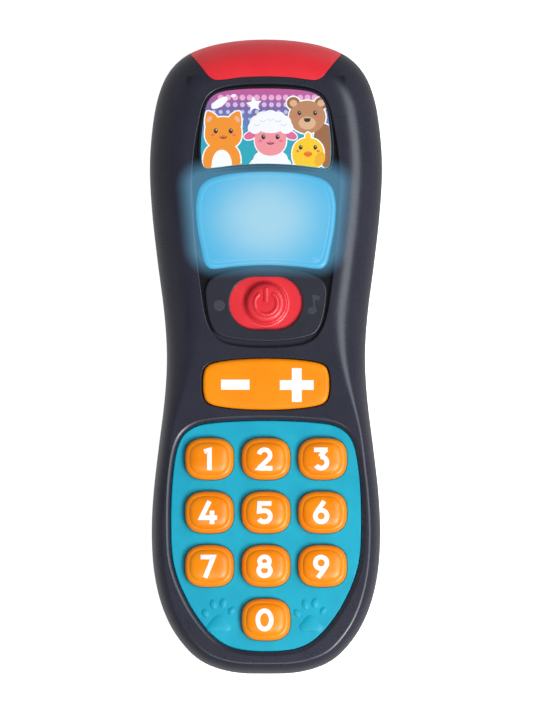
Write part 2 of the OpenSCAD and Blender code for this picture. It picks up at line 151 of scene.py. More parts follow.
class Form:
    def __init__(self):
        self.points, self.faces, self.inks = [], [], []

    def add(self, points):
        start = len(self.points)
        self.points.extend(tuple(map(float, p)) for p in points)
        return start

    def face(self, corners, ink=None):
        self.faces.append(tuple(corners))
        self.inks.append(ink)

    def rings(self, rings, bottom=True, top=True, joined=False):
        count = len(rings[0])
        starts = [self.add(ring) for ring in rings]
        for low, high in list(zip(starts, starts[1:])) + ([(starts[-1], starts[0])] if joined else []):
            for i in range(count):
                j = (i + 1) % count
                self.face((low + i, low + j, high + j, high + i))
        if bottom and not joined:
            self.face(starts[0] + i for i in reversed(range(count)))
        if top and not joined:
            self.face(starts[-1] + i for i in range(count))
        return self

    def patch(self, loop, height, floor, ink=None):    # a thin closed plate with upright sides
        loop = loop if area(loop) > 0 else loop[::-1]
        count = len(loop)
        low, high = self.add(lift(loop, floor)), self.add(lift(loop, height))
        for i in range(count):
            j = (i + 1) % count
            self.face((low + i, low + j, high + j, high + i), ink)
        self.face((low + i for i in reversed(range(count))), ink)
        self.face((high + i for i in range(count)), ink)
        return self

    # a raised line of even width along a path; heightAt gives the surface that it lies on
    def ribbon(self, path, width, heightAt, rise=0.06, depth=0.25, closed=False, across=4, crown=0.0):
        path = np.array(path, float)
        before, after = path - np.roll(path, 1, 0), np.roll(path, -1, 0) - path
        if not closed:
            before[0], after[-1] = after[0], before[-1]
        before /= np.linalg.norm(before, axis=1)[:, None]
        after /= np.linalg.norm(after, axis=1)[:, None]
        along = before + after
        along /= np.linalg.norm(along, axis=1)[:, None]
        side = np.stack([-along[:, 1], along[:, 0]], 1)
        side /= np.maximum(np.sum(along * after, 1), 0.5)[:, None]
        sections = []
        for spot, across2 in zip(path, side):
            places = np.linspace(0.5, -0.5, across + 1)
            upper = [spot + across2 * width * t for t in places]
            ring = [(p[0], p[1], heightAt(*p) + rise + crown * math.cos(math.pi * t) ** 0.8)
                    for p, t in zip(upper, np.clip(places, -0.4999, 0.4999))]
            ring += [(p[0], p[1], heightAt(*p) - depth) for p in (upper[-1], upper[0])]
            sections.append(ring)
        return self.rings(sections, joined=closed)

    def toObject(self, name):
        mesh = bpy.data.meshes.new(name)
        mesh.from_pydata(self.points, [], self.faces)
        if any(ink is not None for ink in self.inks):
            paint = mesh.attributes.new("ink", "FLOAT_COLOR", "CORNER")
            for polygon, ink in zip(mesh.polygons, self.inks):
                for k in polygon.loop_indices:
                    paint.data[k].color = (*ink, 1)
        obj = bpy.data.objects.new(name, mesh)
        bpy.context.scene.collection.objects.link(obj)
        return obj


def solid(rings):
    return Form().rings(rings).toObject("tool")


def prism(loop, low, high):
    return solid([lift(loop, low), lift(loop, high)])


def rod(radius, start, end, axis="z", count=40):    # a round bar from one point to another along an axis
    length = end[{"x": 0, "y": 1, "z": 2}[axis]] - start[{"x": 0, "y": 1, "z": 2}[axis]]
    bar = prism(circle(radius, count=count), 0, length)
    turn = {"x": Matrix.Rotation(math.pi / 2, 4, "Y"), "y": Matrix.Rotation(-math.pi / 2, 4, "X"),
            "z": Matrix.Identity(4)}[axis]
    bar.data.transform(Matrix.Translation(start) @ turn)
    return bar


def opening(loop, bottom, top, rim, drop=None, steps=5):    # a cutter whose mouth is rounded by rim
    drop = drop or rim
    rings = [lift(loop, bottom)]
    for t in np.radians(np.linspace(0, 78, steps + 1)):
        rings.append(lift(inset(loop, -rim * (1 - math.cos(t))), top - drop + drop * math.sin(t)))
    wide = -rim * 1.2
    return solid(rings + [lift(inset(loop, wide), top + 0.12 * drop), lift(inset(loop, wide), top + 1)])


def settle(obj):    # modifiers become plain mesh
    bpy.context.view_layer.update()
    graph = bpy.context.evaluated_depsgraph_get()
    mesh = bpy.data.meshes.new_from_object(obj.evaluated_get(graph))
    old = obj.data
    obj.modifiers.clear()
    obj.data = mesh
    bpy.data.meshes.remove(old)
    return obj


def work(obj, operation, tools):
    for tool in tools:
        step = obj.modifiers.new("work", "BOOLEAN")
        step.operation, step.solver, step.object = operation, "EXACT", tool
    settle(obj)
    for tool in tools:
        bpy.data.objects.remove(tool)
    return obj


def softenEdges(obj, width, segments=2, angle=40):
    bevel = obj.modifiers.new("edges", "BEVEL")
    bevel.width, bevel.segments, bevel.limit_method = width, segments, "ANGLE"
    bevel.angle_limit, bevel.harden_normals = math.radians(angle), False
    return settle(obj)


def placed(obj, name, material, body, replaced=(), angle=32):    # a finished piece
    form = bmesh.new()
    form.from_mesh(obj.data)
    bmesh.ops.remove_doubles(form, verts=form.verts, dist=1e-4)
    bmesh.ops.dissolve_degenerate(form, edges=form.edges, dist=1e-5)
    form.to_mesh(obj.data)
    form.free()
    obj.data.transform(Matrix.Scale(mm, 4))
    obj.data.shade_smooth()
    obj.data.set_sharp_from_angle(angle=math.radians(angle))
    weigh = obj.modifiers.new("weigh", "WEIGHTED_NORMAL")
    weigh.weight, weigh.keep_sharp = 60, True
    settle(obj)
    obj.name = obj.data.name = name
    obj.data.materials.clear()
    for m in (material if isinstance(material, list) else [material]):
        obj.data.materials.append(m)
    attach(obj, body)
    if replaced:
        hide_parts(*replaced)
    return obj


# node trees: sockets that take part in plain arithmetic

class Sock:
    def __init__(self, kit, socket):
        self.kit, self.socket = kit, socket

    def maths(self, operation, *values):
        return self.kit.node("ShaderNodeMath", {"operation": operation}, values)

    def __add__(self, other):
        return self.maths("ADD", self, other)

    def __radd__(self, other):
        return self.maths("ADD", other, self)

    def __sub__(self, other):
        return self.maths("SUBTRACT", self, other)

    def __rsub__(self, other):
        return self.maths("SUBTRACT", other, self)

    def __mul__(self, other):
        return self.maths("MULTIPLY", self, other)

    def __rmul__(self, other):
        return self.maths("MULTIPLY", other, self)

    def __truediv__(self, other):
        return self.maths("DIVIDE", self, other)

    def __pow__(self, other):
        return self.maths("POWER", self, other)

    def __neg__(self):
        return self.maths("MULTIPLY", self, -1)

    def over(self, low, high):    # 0 below low, 1 above high, smooth between
        return self.kit.node("ShaderNodeMapRange", {"interpolation_type": "SMOOTHSTEP"},
                             {"Value": self, "From Min": low, "From Max": high})

    def size(self):
        return self.maths("ABSOLUTE", self)

    def above(self, least):
        return self.maths("MAXIMUM", self, least)

    def below(self, most):
        return self.maths("MINIMUM", self, most)


class NodeKit:
    def __init__(self, tree):
        self.tree = tree

    def node(self, kind, settings=None, inputs=None, out=0):
        made = self.tree.nodes.new(kind)
        for name, value in (settings or {}).items():
            if name == "stops":
                ramp = made.color_ramp.elements
                while len(ramp) < len(value):
                    ramp.new(0.5)
                for stop, (place, colour) in zip(ramp, value):
                    stop.position, stop.color = place, (*colour, 1)
            else:
                setattr(made, name, value)
        entries = inputs.items() if isinstance(inputs, dict) else enumerate(inputs or ())
        for key, value in entries:
            socket = self.find(made.inputs, key)
            if isinstance(value, (Sock, list)):
                for source in value if isinstance(value, list) else [value]:
                    self.tree.links.new(source.socket, socket)
            elif value is not None:
                socket.default_value = value
        return Sock(self, self.find(made.outputs, out)) if made.outputs else None

    def find(self, sockets, key):
        if isinstance(key, int):
            return sockets[key]
        exact = [s for s in sockets if s.identifier == key]
        named = [s for s in sockets if s.name == key and s.enabled]
        return (exact or named)[0]

    def mix(self, first, second, factor):    # colours
        wide = [(*c, 1) if isinstance(c, tuple) else c for c in (first, second)]
        return self.node("ShaderNodeMix", {"data_type": "RGBA"},
                         {"Factor_Float": factor, "A_Color": wide[0], "B_Color": wide[1]}, "Result_Color")

    def place(self):    # the point on the piece, in millimetres
        spot = self.node("ShaderNodeTexCoord", out="Object")
        grown = self.node("ShaderNodeVectorMath", {"operation": "SCALE"}, {"Vector": spot, "Scale": 1 / mm})
        return grown, [self.node("ShaderNodeSeparateXYZ", {}, [grown], k) for k in range(3)]

    def noise(self, spot, feature, detail=2, rough=0.5):
        return self.node("ShaderNodeTexNoise", {}, {"Vector": spot, "Scale": 1 / feature, "Detail": detail,
                                                    "Roughness": rough}, "Fac")


def tone(red, green, blue):    # a colour as a picker shows it, made linear
    return tuple(c / 12.92 if c <= 0.04045 else ((c + 0.055) / 1.055) ** 2.4
                 for c in (red / 255, green / 255, blue / 255))


def blank(name):
    material = bpy.data.materials.new(name)
    material.use_nodes = True
    material.node_tree.nodes.clear()
    return material, NodeKit(material.node_tree)


def shade(kit, **sockets):
    names = {"colour": "Base Color", "rough": "Roughness", "metal": "Metallic", "normal": "Normal",
             "glow": "Emission Color", "glowPower": "Emission Strength", "coat": "Coat Weight",
             "coatRough": "Coat Roughness", "specular": "Specular IOR Level", "ior": "IOR",
             "under": "Subsurface Weight", "underReach": "Subsurface Radius",
             "underScale": "Subsurface Scale"}
    values = {names[k]: ((*v, 1) if k in ("colour", "glow") and isinstance(v, tuple) else v)
              for k, v in sockets.items()}
    surface = kit.node("ShaderNodeBsdfPrincipled", {}, values)
    kit.node("ShaderNodeOutputMaterial", {}, {"Surface": surface})


def bump(kit, height, depth, strength=1.0):    # depth in millimetres
    return kit.node("ShaderNodeBump", {}, {"Height": height, "Distance": depth * mm, "Strength": strength})


# how one moulded or drawn surface looks: tones at the ends of its mottling, roughness and its spread,
# and the size and depth of its grain
def moulded(name, dark, light, rough, spread=0.06, mottle=9.0, grain=0.35, depth=0.012, metal=0.0,
            coat=0.0, specular=0.5, under=0.0):
    material, kit = blank(name)
    spot, _ = kit.place()
    cloud = kit.noise(spot, mottle, 3)
    fine = kit.noise(spot, grain, 3, 0.6)
    scuff = kit.noise(spot, mottle * 0.3, 4, 0.7)
    colour = kit.mix(tone(*dark), tone(*light), (cloud * 0.75 + fine * 0.25).over(0.3, 0.7))
    shade(kit, colour=colour, rough=rough + (scuff - 0.5) * spread * 2, metal=metal, coat=coat,
          coatRough=0.12,
          specular=specular, under=under, underScale=0.002, normal=bump(kit, fine, depth))
    return material


def attributeColour(kit, name):
    return kit.node("ShaderNodeAttribute", {"attribute_name": name}, out="Color")


# geometry nodes: a tree with named sizes, run on a few points, and its result kept as a plain mesh
def grow(name, points, sizes, build, material):
    tree = bpy.data.node_groups.new(name, "GeometryNodeTree")
    tree.interface.new_socket("Geometry", in_out="INPUT", socket_type="NodeSocketGeometry")
    tree.interface.new_socket("Geometry", in_out="OUTPUT", socket_type="NodeSocketGeometry")
    keys = {}
    for label, size in sizes.items():
        kind = "NodeSocketInt" if isinstance(size, int) else "NodeSocketFloat"
        keys[label] = tree.interface.new_socket(label, in_out="INPUT", socket_type=kind).identifier
    kit = NodeKit(tree)
    source = tree.nodes.new("NodeGroupInput")
    given = {socket.name: Sock(kit, socket) for socket in source.outputs}
    real = kit.node("GeometryNodeRealizeInstances", {}, [build(kit, given)])
    painted = kit.node("GeometryNodeSetMaterial", {}, {"Geometry": real, "Material": material})
    kit.node("NodeGroupOutput", {}, [painted])
    form = Form()
    form.add(points)
    obj = form.toObject(name)
    step = obj.modifiers.new(name, "NODES")
    step.node_group = tree
    for label, size in sizes.items():
        step[keys[label]] = size
    return settle(obj)


def bar(kit, radius, low, high, sides=32):    # an upright round bar, for use inside a tree
    made = kit.node("GeometryNodeMeshCylinder", {},
                    {"Vertices": sides, "Radius": radius, "Depth": high - low})
    lifted = kit.node("ShaderNodeCombineXYZ", {}, {"Z": (high + low) * 0.5})
    return kit.node("GeometryNodeTransform", {}, {"Geometry": made, "Translation": lifted})


def onPoints(kit, points, shape, scale=None, turn=None):
    return kit.node("GeometryNodeInstanceOnPoints", {}, {"Points": points, "Instance": shape, "Scale": scale,
                                                         "Rotation": turn})


# finishes

print("finishes")
# painted shade: the charcoal turns near black on the console recess's walls and floor, where shadow falls
paintedRecessShade = {"side": (20.6, 21.6), "foot": (6, 7), "head": (74.4, 75.2), "rim": (23.7, 24.7),
               "floor": (20, 22),
               "tint": (3, 3, 6), "strength": 0.95}
lampGlow = {"half": (19.0, 16.0), "middle": (165, 206, 223), "edge": (70, 174, 218), "fade": (0.16, 1.02),
            "power": 0.86}
# painted light: the panel's blue glow laid on the charcoal around it as emission
paintedPanelGlow = {"middle": (0, 36.9), "half": (15.3, 8.0), "taper": 0.1, "reach": 8.4, "full": 0.38,
            "light": (71, 123, 151), "power": 1.0}


def darkPlastic(name, dark, light, rough, grain, depth, lit=True):    # charcoal, with a painted blue glow beside the panel and painted shade in the console's recess
    material, kit = blank(name)
    spot, (x, y, z) = kit.place()
    cloud = kit.noise(spot, 14, 3)
    fine = kit.noise(spot, grain, 3, 0.6)
    scuff = kit.noise(spot, 5, 4, 0.7)
    colour = kit.mix(tone(*dark), tone(*light), (cloud * 0.7 + fine * 0.3).over(0.3, 0.7))
    glow = (0.0, 0.0, 0.0)
    if lit:
        # painted shade: near black inside the console recess, below its rim
        within = (1 - x.size().over(*paintedRecessShade["side"])) * y.over(*paintedRecessShade["foot"])
        within = within * (1 - y.over(*paintedRecessShade["head"]))
        well = within * (1 - z.over(*paintedRecessShade["rim"])) * z.over(*paintedRecessShade["floor"])
        colour = kit.mix(colour, tone(*paintedRecessShade["tint"]), well * paintedRecessShade["strength"])
        # painted light: a blue glow on the charcoal beside the panel, fading with distance from it
        aside = (x.size() - paintedPanelGlow["half"][0] - (y - paintedPanelGlow["middle"][1]) * paintedPanelGlow["taper"]).above(0)
        along = ((y - paintedPanelGlow["middle"][1]).size() - paintedPanelGlow["half"][1]).above(0)
        away = (aside * aside + along * along) ** 0.5
        mask = ((1 - away / paintedPanelGlow["reach"]).above(0) ** 1.4 / paintedPanelGlow["full"]).below(1) * z.over(17, 23.4)
        glow = kit.mix((0.0, 0.0, 0.0), tone(*paintedPanelGlow["light"]), mask)
    shade(kit, colour=colour, rough=rough + (scuff - 0.5) * 0.08, glow=glow, glowPower=paintedPanelGlow["power"],
          specular=0.5, normal=bump(kit, fine, depth))
    return material


def lampPlastic():    # the panel, lit from behind and brighter in its middle
    material, kit = blank("lampPlastic")
    spot, (x, y, _) = kit.place()
    across, up = x / lampGlow["half"][0], (y - paintedPanelGlow["middle"][1]) / lampGlow["half"][1]
    away = (across * across + up * up) ** 0.5
    fine = kit.noise(spot, 0.6, 2)
    cloud = kit.noise(spot, 8, 3)
    fade = (away + (cloud - 0.5) * 0.1).over(*lampGlow["fade"])
    glow = kit.mix(tone(*lampGlow["middle"]), tone(*lampGlow["edge"]), fade)
    shade(kit, colour=kit.mix(tone(52, 98, 118), tone(62, 106, 126), fine), glow=glow,
          glowPower=lampGlow["power"],
          rough=0.34 + (cloud - 0.5) * 0.1, normal=bump(kit, fine, 0.01))
    return material


def skyPrint():    # the label's ground: pink to violet to blue to teal, with a printed tooth
    material, kit = blank("skyPrint")
    spot, (_, y, _) = kit.place()
    cloud = kit.noise(spot, 6, 2)
    fade = (y - 50.0) / 22.0 + (cloud - 0.5) * 0.05
    sky = kit.node("ShaderNodeValToRGB", {"stops": [
        (0.0, tone(6, 170, 186)), (0.38, tone(10, 166, 188)), (0.55, tone(84, 130, 190)),
        (0.74, tone(120, 94, 164)), (0.98, tone(204, 84, 150))]}, [fade])
    paper = kit.noise(spot, 0.18, 2)
    shade(kit, colour=kit.mix(sky, (1.0, 1.0, 1.0), paper * 0.06), rough=0.3 + (cloud - 0.5) * 0.08, coat=0.1,
          coatRough=0.08, normal=bump(kit, paper, 0.004))
    return material


def inkPrint():    # the drawn figures, coloured patch by patch
    material, kit = blank("inkPrint")
    spot, _ = kit.place()
    paper = kit.noise(spot, 0.18, 2)
    cloud = kit.noise(spot, 3, 3)
    ink = attributeColour(kit, "ink")
    worn = kit.mix(ink, (1.0, 1.0, 1.0), paper * 0.05)
    shade(kit, colour=kit.mix(worn, (0.25, 0.16, 0.12), (cloud - 0.45).above(0) * 0.12),
          rough=0.3 + (cloud - 0.5) * 0.08, coat=0.1, coatRough=0.08, normal=bump(kit, paper, 0.004))
    return material


def dotPrint():    # halftone dots, pink above and pale blue below
    material, kit = blank("dotPrint")
    spot, (_, y, _) = kit.place()
    paper = kit.noise(spot, 0.18, 2)
    colour = kit.node("ShaderNodeValToRGB", {"stops": [
        (0.0, tone(140, 214, 236)), (0.45, tone(196, 198, 234)), (0.7, tone(240, 176, 214)),
        (1.0, tone(240, 126, 180))]}, [(y - 61.0) / 11.0])
    shade(kit, colour=kit.mix(colour, (1.0, 1.0, 1.0), paper * 0.05), rough=0.34 + paper * 0.04, coat=0.1,
          coatRough=0.08)
    return material


def boardMask():    # green solder mask with copper tracks just under it
    material, kit = blank("boardMask")
    spot, _ = kit.place()
    cells = kit.node("ShaderNodeTexVoronoi", {"distance": "CHEBYCHEV", "feature": "F1"},
                     {"Vector": spot, "Scale": 0.45, "Randomness": 0.85}, "Distance")
    track = (cells * 9).maths("FRACT", cells * 9).over(0.62, 0.72)
    fine = kit.noise(spot, 0.5, 3)
    colour = kit.mix(kit.mix(tone(10, 74, 44), tone(16, 88, 54), fine), tone(34, 120, 66), track)
    shade(kit, colour=colour, rough=0.3 + fine * 0.1, coat=0.4, coatRough=0.15,
          normal=bump(kit, track, 0.02))
    return material


def cellWrap():    # a plain two-tone sleeve with a dark band near each end
    material, kit = blank("cellWrap")
    spot, (_, y, _) = kit.place()
    middle = y + 18.65
    band = (middle.size() - 16.5).size().over(0.9, 1.1)
    fine = kit.noise(spot, 0.4, 3)
    sleeve = kit.mix(tone(196, 202, 206), tone(38, 120, 92), (middle + fine * 0.3).over(-2.1, -1.9))
    tip = middle.size().over(20.7, 20.8)
    shade(kit, colour=kit.mix(kit.mix(tone(24, 34, 38), sleeve, band), tone(190, 190, 186), tip),
          metal=tip * 0.9, rough=0.26 + fine * 0.12, coat=0.3, coatRough=0.1, normal=bump(kit, fine, 0.01))
    return material


looks = {
    "front_plastic": darkPlastic("charcoalSatin", (38, 39, 51), (44, 45, 58), 0.28, 0.6, 0.002),
    "rear_plastic": darkPlastic("charcoalMatt", (34, 34, 45), (42, 42, 53), 0.52, 0.7, 0.03, lit=False),
    "plate_plastic": darkPlastic("plateSatin", (35, 36, 47), (41, 42, 54), 0.32, 0.6, 0.002),
    "red_plastic": moulded("signalRed", (242, 44, 56), (250, 52, 62), 0.3, mottle=16, coat=0.1, under=0.1),
    "picture_print": skyPrint(),
    "light_plastic": lampPlastic(),
    "teal_plastic": moulded("tealSatin", (6, 160, 188), (16, 172, 200), 0.42, mottle=7, depth=0.02,
                            specular=0.3),
    "key_plastic": moulded("keyOrange", (250, 134, 0), (255, 148, 6), 0.3, mottle=6, specular=0.4,
                           under=0.05),
    "orange_plastic": moulded("rockerOrange", (250, 140, 0), (255, 150, 4), 0.38, mottle=9, specular=0.25),
    "knob_plastic": moulded("knobRed", (228, 40, 52), (238, 50, 60), 0.32, mottle=6, coat=0.1, under=0.05),
    "white_plastic": moulded("printWhite", (253, 252, 247), (255, 255, 252), 0.4, mottle=5),
    "switch_metal": moulded("switchMetal", (168, 168, 166), (190, 190, 188), 0.3, mottle=3, metal=1.0),
    "mat_silicone": moulded("matSilicone", (196, 200, 200), (214, 217, 216), 0.55, mottle=5, under=0.2),
    "board_laminate": boardMask(),
    "chip_resin": moulded("chipResin", (18, 18, 19), (30, 30, 31), 0.38, mottle=2, grain=0.2, depth=0.02),
    "capacitor_sleeve": moulded("capSleeve", (26, 28, 58), (38, 40, 74), 0.3, mottle=4),
    "led_lens": moulded("ledLens", (206, 226, 238), (224, 240, 248), 0.12, mottle=2, under=0.3),
    "speaker_metal": moulded("speakerTin", (176, 176, 172), (196, 196, 192), 0.32, mottle=5, metal=1.0),
    "speaker_paper": moulded("conePaper", (26, 26, 29), (44, 43, 46), 0.8, mottle=2, grain=0.5, depth=0.06),
    "magnet_ferrite": moulded("ferrite", (66, 66, 70), (88, 88, 92), 0.6, mottle=3, grain=0.4, depth=0.04),
    "cell_wrap": cellWrap(),
    "spring_steel": moulded("springNickel", (186, 184, 176), (208, 206, 198), 0.2, mottle=3, metal=1.0),
    "screw_steel": moulded("screwZinc", (168, 168, 166), (198, 196, 192), 0.28, mottle=2, metal=1.0),
    "wire_red": moulded("wireRed", (176, 26, 30), (196, 38, 40), 0.4, mottle=3),
}


# housings

print("housings")
seamZ, faceZ = boxOf("front_housing")[0][2], boxOf("front_housing")[1][2]
consoleZ, plateZ = boxOf("switch_plate")[0][2], boxOf("switch_plate")[1][2]
slabZ = consoleZ - 2    # underside of the console floor

bodyLoop = inset(smoothLoop(loopsAt("front_housing", seamZ)[0], 2), 0.015)
consoleLoop = smoothLoop(loopsAt("front_housing", consoleZ)[0], 2)
pictureLoop = smoothLoop(loopsAt("picture_label", boxOf("picture_label")[1][2])[0], 2)
lampLoop = smoothLoop(loopsAt("light_panel", slabZ - 0.05)[1], 2)
plateLoop, plateHole = [smoothLoop(loop, 2) for loop in loopsAt("switch_plate", plateZ)[:2]]
panelLoop = smoothLoop(loopsAt("keypad_panel", boxOf("keypad_panel")[1][2])[0], 2)

roll = {"head": 10.4, "keys": 3.4, "back": 6.5, "power": 2.3, "from": -22.0, "over": 36.0, "steps": 18,
        "seamChamfer": 0.22}
shell = {"wall": 2.0, "capEdge": 0.05, "bossRadius": 3.2, "bossBore": 1.3,
         "mouth": 0.3, "keypadMouth": (1.4, 1.0), "rockerGap": (0.36, 0.18), "rockerMouth": 0.25}
cap = {"outline": [[0, 95], [28, 92], [24, 85.5], [20.4, 81], [17.4, 77.4], [15.2, 74.7], [13.4, 73.8],
                   [11, 73.9], [6, 74.5], [0, 74.7]], "gap": 0.06, "low": 12.6}
rocker = {"quarter": [[0, 6.85], [6, 6.68], [11, 6.2], [14.4, 5.5], [16.1, 4.3], [16.75, 2.2]], "tip": 16.85,
          "y": -7.35, "low": 20.2, "pivot": 21.4, "top": 25.7, "edge": 0.85, "crown": 0.22}
postSpots = [(20, 60), (18.6, 20.4), (12.5, -69.5)]
boardSpots = [(21.6, 46), (7.55, -48.75)]


def mirrored(half):
    return half + [[-x, y] for x, y in half[-2:0:-1]]


def bothSides(spots):
    return [(side * x, y) for x, y in spots for side in (1, -1)]


def rollWidth(y):
    t = np.clip((y - roll["from"]) / roll["over"], 0, 1)
    return roll["keys"] + (roll["head"] - roll["keys"]) * t * t * (3 - 2 * t)


def skin(extra, rise, width, steps):    # rings from the seam round a rolled edge to the flat face
    rings = []
    for t in np.linspace(0, math.pi / 2, steps + 1):
        bow, up = 1 - max(math.cos(t), 0) ** (2 / roll["power"]), math.sin(t) ** (2 / roll["power"])
        rings.append(lift(inset(bodyLoop, extra + width * bow), seamZ + rise * up))
    return rings


def outerSkin(rise, width):    # with a fine chamfer at the seam
    rings = skin(0, rise, width, roll["steps"])
    cut = roll["seamChamfer"]
    start = [lift(inset(bodyLoop, cut), seamZ), lift(bodyLoop, seamZ + math.copysign(cut, rise))]
    return start + rings[1:]


frontOuter = outerSkin(faceZ - seamZ, rollWidth(bodyLoop[:, 1]))
frontInner = skin(shell["wall"], faceZ - shell["wall"] - seamZ, rollWidth(bodyLoop[:, 1]), 8)
frontInner[0][:, 2] -= 0.1
capZone = smoothLoop(np.array(mirrored(cap["outline"]), float), 5)
capZone = capZone if area(capZone) > 0 else capZone[::-1]
rockerHalf = rocker["quarter"] + [[rocker["tip"], 0]] + [[x, -y] for x, y in rocker["quarter"][::-1]]
rockerLoop = smoothLoop(np.array(mirrored(rockerHalf), float), 6)
rockerLoop = rockerLoop if area(rockerLoop) > 0 else rockerLoop[::-1]
rockerLoop = rockerLoop + (0, rocker["y"])
rockerWindow = inset(rockerLoop, -shell["rockerGap"][1])
rockerWindow[:, 0] += np.sign(rockerWindow[:, 0]) * (shell["rockerGap"][0] - shell["rockerGap"][1]) * np.clip(
    np.abs(rockerWindow[:, 0]) / 12, 0, 1)
slotY = float(plateHole[:, 1].mean())


def stadium(halfX, halfY):
    return roundRect((-halfX, slotY - halfY), (halfX, slotY + halfY), halfY - 0.01, 14)


def frontShell():
    base = solid(frontOuter)
    work(base, "DIFFERENCE", [solid(frontInner)])
    added = [prism(inset(consoleLoop, -1.8), slabZ, faceZ - 0.5)]
    added += [rod(shell["bossRadius"], (x, y, seamZ + 0.4), (x, y, faceZ - 2.1))
              for x, y in bothSides(postSpots[:1])]
    added += [rod(shell["bossRadius"], (x, y, seamZ + 0.4), (x, y, slabZ + 0.5))
              for x, y in bothSides(postSpots[1:2])]
    added += [rod(2, (x, y, 17), (x, y, faceZ - 1.9)) for x, y in bothSides(boardSpots[:1])]
    added += [prism(roundRect((-3, low), (3, high), 0.3, 2), 19.6, faceZ - 1.9)
              for low, high in ((-15.9, -14.75), (0.05, 1.9))]
    work(base, "UNION", added)
    cut = [opening(consoleLoop, consoleZ, faceZ, shell["mouth"]),
           opening(rockerWindow, faceZ - 3.4, faceZ, shell["rockerMouth"]),
           opening(inset(panelLoop, -0.15), 20, faceZ, *shell["keypadMouth"]),
           prism(inset(capZone, -shell["capEdge"]), cap["low"], faceZ + 2)]
    work(base, "DIFFERENCE", cut)
    edge = inset(pictureLoop, -0.7)
    plinth = solid([lift(edge, consoleZ - 0.8), lift(edge, consoleZ + 0.4),
                    lift(inset(edge, 0.08), consoleZ + 0.55),
                    lift(inset(edge, 0.25), consoleZ + 0.6)])
    work(base, "UNION", [plinth])
    cut = [prism(inset(lampLoop, -0.15), slabZ - 1, faceZ), prism(stadium(15.7, 7.8), consoleZ - 1, faceZ),
           prism(stadium(6.6, 3.2), slabZ - 1, consoleZ), rod(1.26, (0, -16, 21.4), (0, 2, 21.4), "y")]
    cut += [rod(shell["bossBore"], (x, y, seamZ), (x, y, seamZ + 7.5)) for x, y in bothSides(postSpots[:2])]
    work(base, "DIFFERENCE", cut)
    return placed(base, "frontShell", looks["front_plastic"], "case", ["front_housing"])


def signalCap():
    base = solid(frontOuter)
    work(base, "DIFFERENCE", [solid(frontInner)])
    work(base, "INTERSECT", [prism(inset(capZone, cap["gap"]), cap["low"], faceZ + 2)])
    softenEdges(base, 0.14)
    return placed(base, "signalCap", looks["red_plastic"], "case", ["signal_cap"])


frontShell()
signalCap()

bay = {"half": 11.4, "low": -42.3, "high": 5.0, "roof": 12.8, "wall": 1.6}
door = {"half": 15.0, "low": -45.0, "high": 14.5, "z": (0.2, 1.8), "screwY": 10.0, "ribs": 7, "ribPitch": 1.7,
        "ribHalf": 6.0, "ribY": -36.0}
speaker = {"y": 58.0, "radius": 14.0, "holeRadius": 0.9, "pitch": 3.1, "rings": 3}


def grillePlan():    # middles of the sound holes: one, then rings of six, twelve and eighteen
    spots = [(0, speaker["y"], 0)]
    for ring in range(1, speaker["rings"] + 1):
        spots += [(*p, 0) for p in circle(ring * speaker["pitch"], (0, speaker["y"]), ring * 6)]
    return spots


def holeTree(kit, given):
    tool = bar(kit, given["Radius"], given["Low"], given["High"], 24)
    return onPoints(kit, given["Geometry"], tool)


def rearShell():
    outer = [ring for ring in reversed(outerSkin(-seamZ, roll["back"]))]
    inner = [ring for ring in reversed(skin(shell["wall"], shell["wall"] - seamZ, roll["back"], 8))]
    inner[-1][:, 2] += 0.1
    base = solid(outer)
    work(base, "DIFFERENCE", [solid(inner)])
    ledge = roundRect((-door["half"] - 2, door["low"] - 4), (door["half"] + 2, door["high"] + 2), 1)
    block = roundRect((-bay["half"] - bay["wall"], bay["low"] - 1.5),
                      (bay["half"] + bay["wall"], bay["high"] + 1.5), 0.8)
    added = [prism(ledge, 1, 3.4), prism(block, 1.9, bay["roof"] + 1.5),
             rod(3.2, (0, door["screwY"], 1.9), (0, door["screwY"], 9)),
             rod(speaker["radius"] + 1.5, (0, speaker["y"], 1), (0, speaker["y"], 3.6), count=72)]
    added += [rod(4.1, (x, y, 1.4), (x, y, seamZ + 0.2)) for x, y in bothSides(postSpots)]
    work(base, "UNION", added)
    hollow = roundRect((-bay["half"], bay["low"]), (bay["half"], bay["high"]), 0.4)
    well = roundRect((-door["half"] - 0.3, door["low"] - 0.35), (door["half"] + 0.3, door["high"] + 0.3), 0.5)
    flare = solid([lift(inset(well, -0.5), -1), lift(inset(well, -0.5), -0.1), lift(well, 0.35),
                   lift(well, 2.1)])
    cut = [prism(hollow, -1, bay["roof"]), flare, rod(1.9, (0, door["screwY"], 1), (0, door["screwY"], 7.8)),
           rod(speaker["radius"] + 0.1, (0, speaker["y"], 2), (0, speaker["y"], 6), count=72),
           grow("holes", grillePlan(), {"Radius": speaker["holeRadius"], "Low": -1.0, "High": 4.0}, holeTree,
                looks["rear_plastic"])]
    cut += [prism(roundRect((side * 8 - 2.3, door["low"] - 2.6), (side * 8 + 2.3, door["low"] + 1.4), 0.2),
                  0.95, 4.95)
            for side in (1, -1)]
    for x, y in bothSides(postSpots):
        cut.append(solid([lift(circle(r, (x, y)), z)
                          for r, z in ((3.4, -1), (3.4, -0.05), (2.9, 0.45), (2.9, 7.5))]))
        cut.append(rod(1.5, (x, y, 7), (x, y, 14)))
    work(base, "DIFFERENCE", cut)
    return placed(base, "rearShell", looks["rear_plastic"], "case", ["rear_housing"])


rearShell()


# the console's pieces

print("console")


def swell(loop, low, rise, steps=9, last=0.06):    # rings drawing in to a crowned middle
    middle = (loop.max(0) + loop.min(0)) / 2
    reach = np.linspace(1, last, steps)
    return [lift(middle + (loop - middle) * t, low + rise * (1 - t * t)) for t in reach]


lamp = {"edge": 0.7, "top": 24.75, "groove": 1.35, "grooveDepth": 0.045, "crown": 0.3}


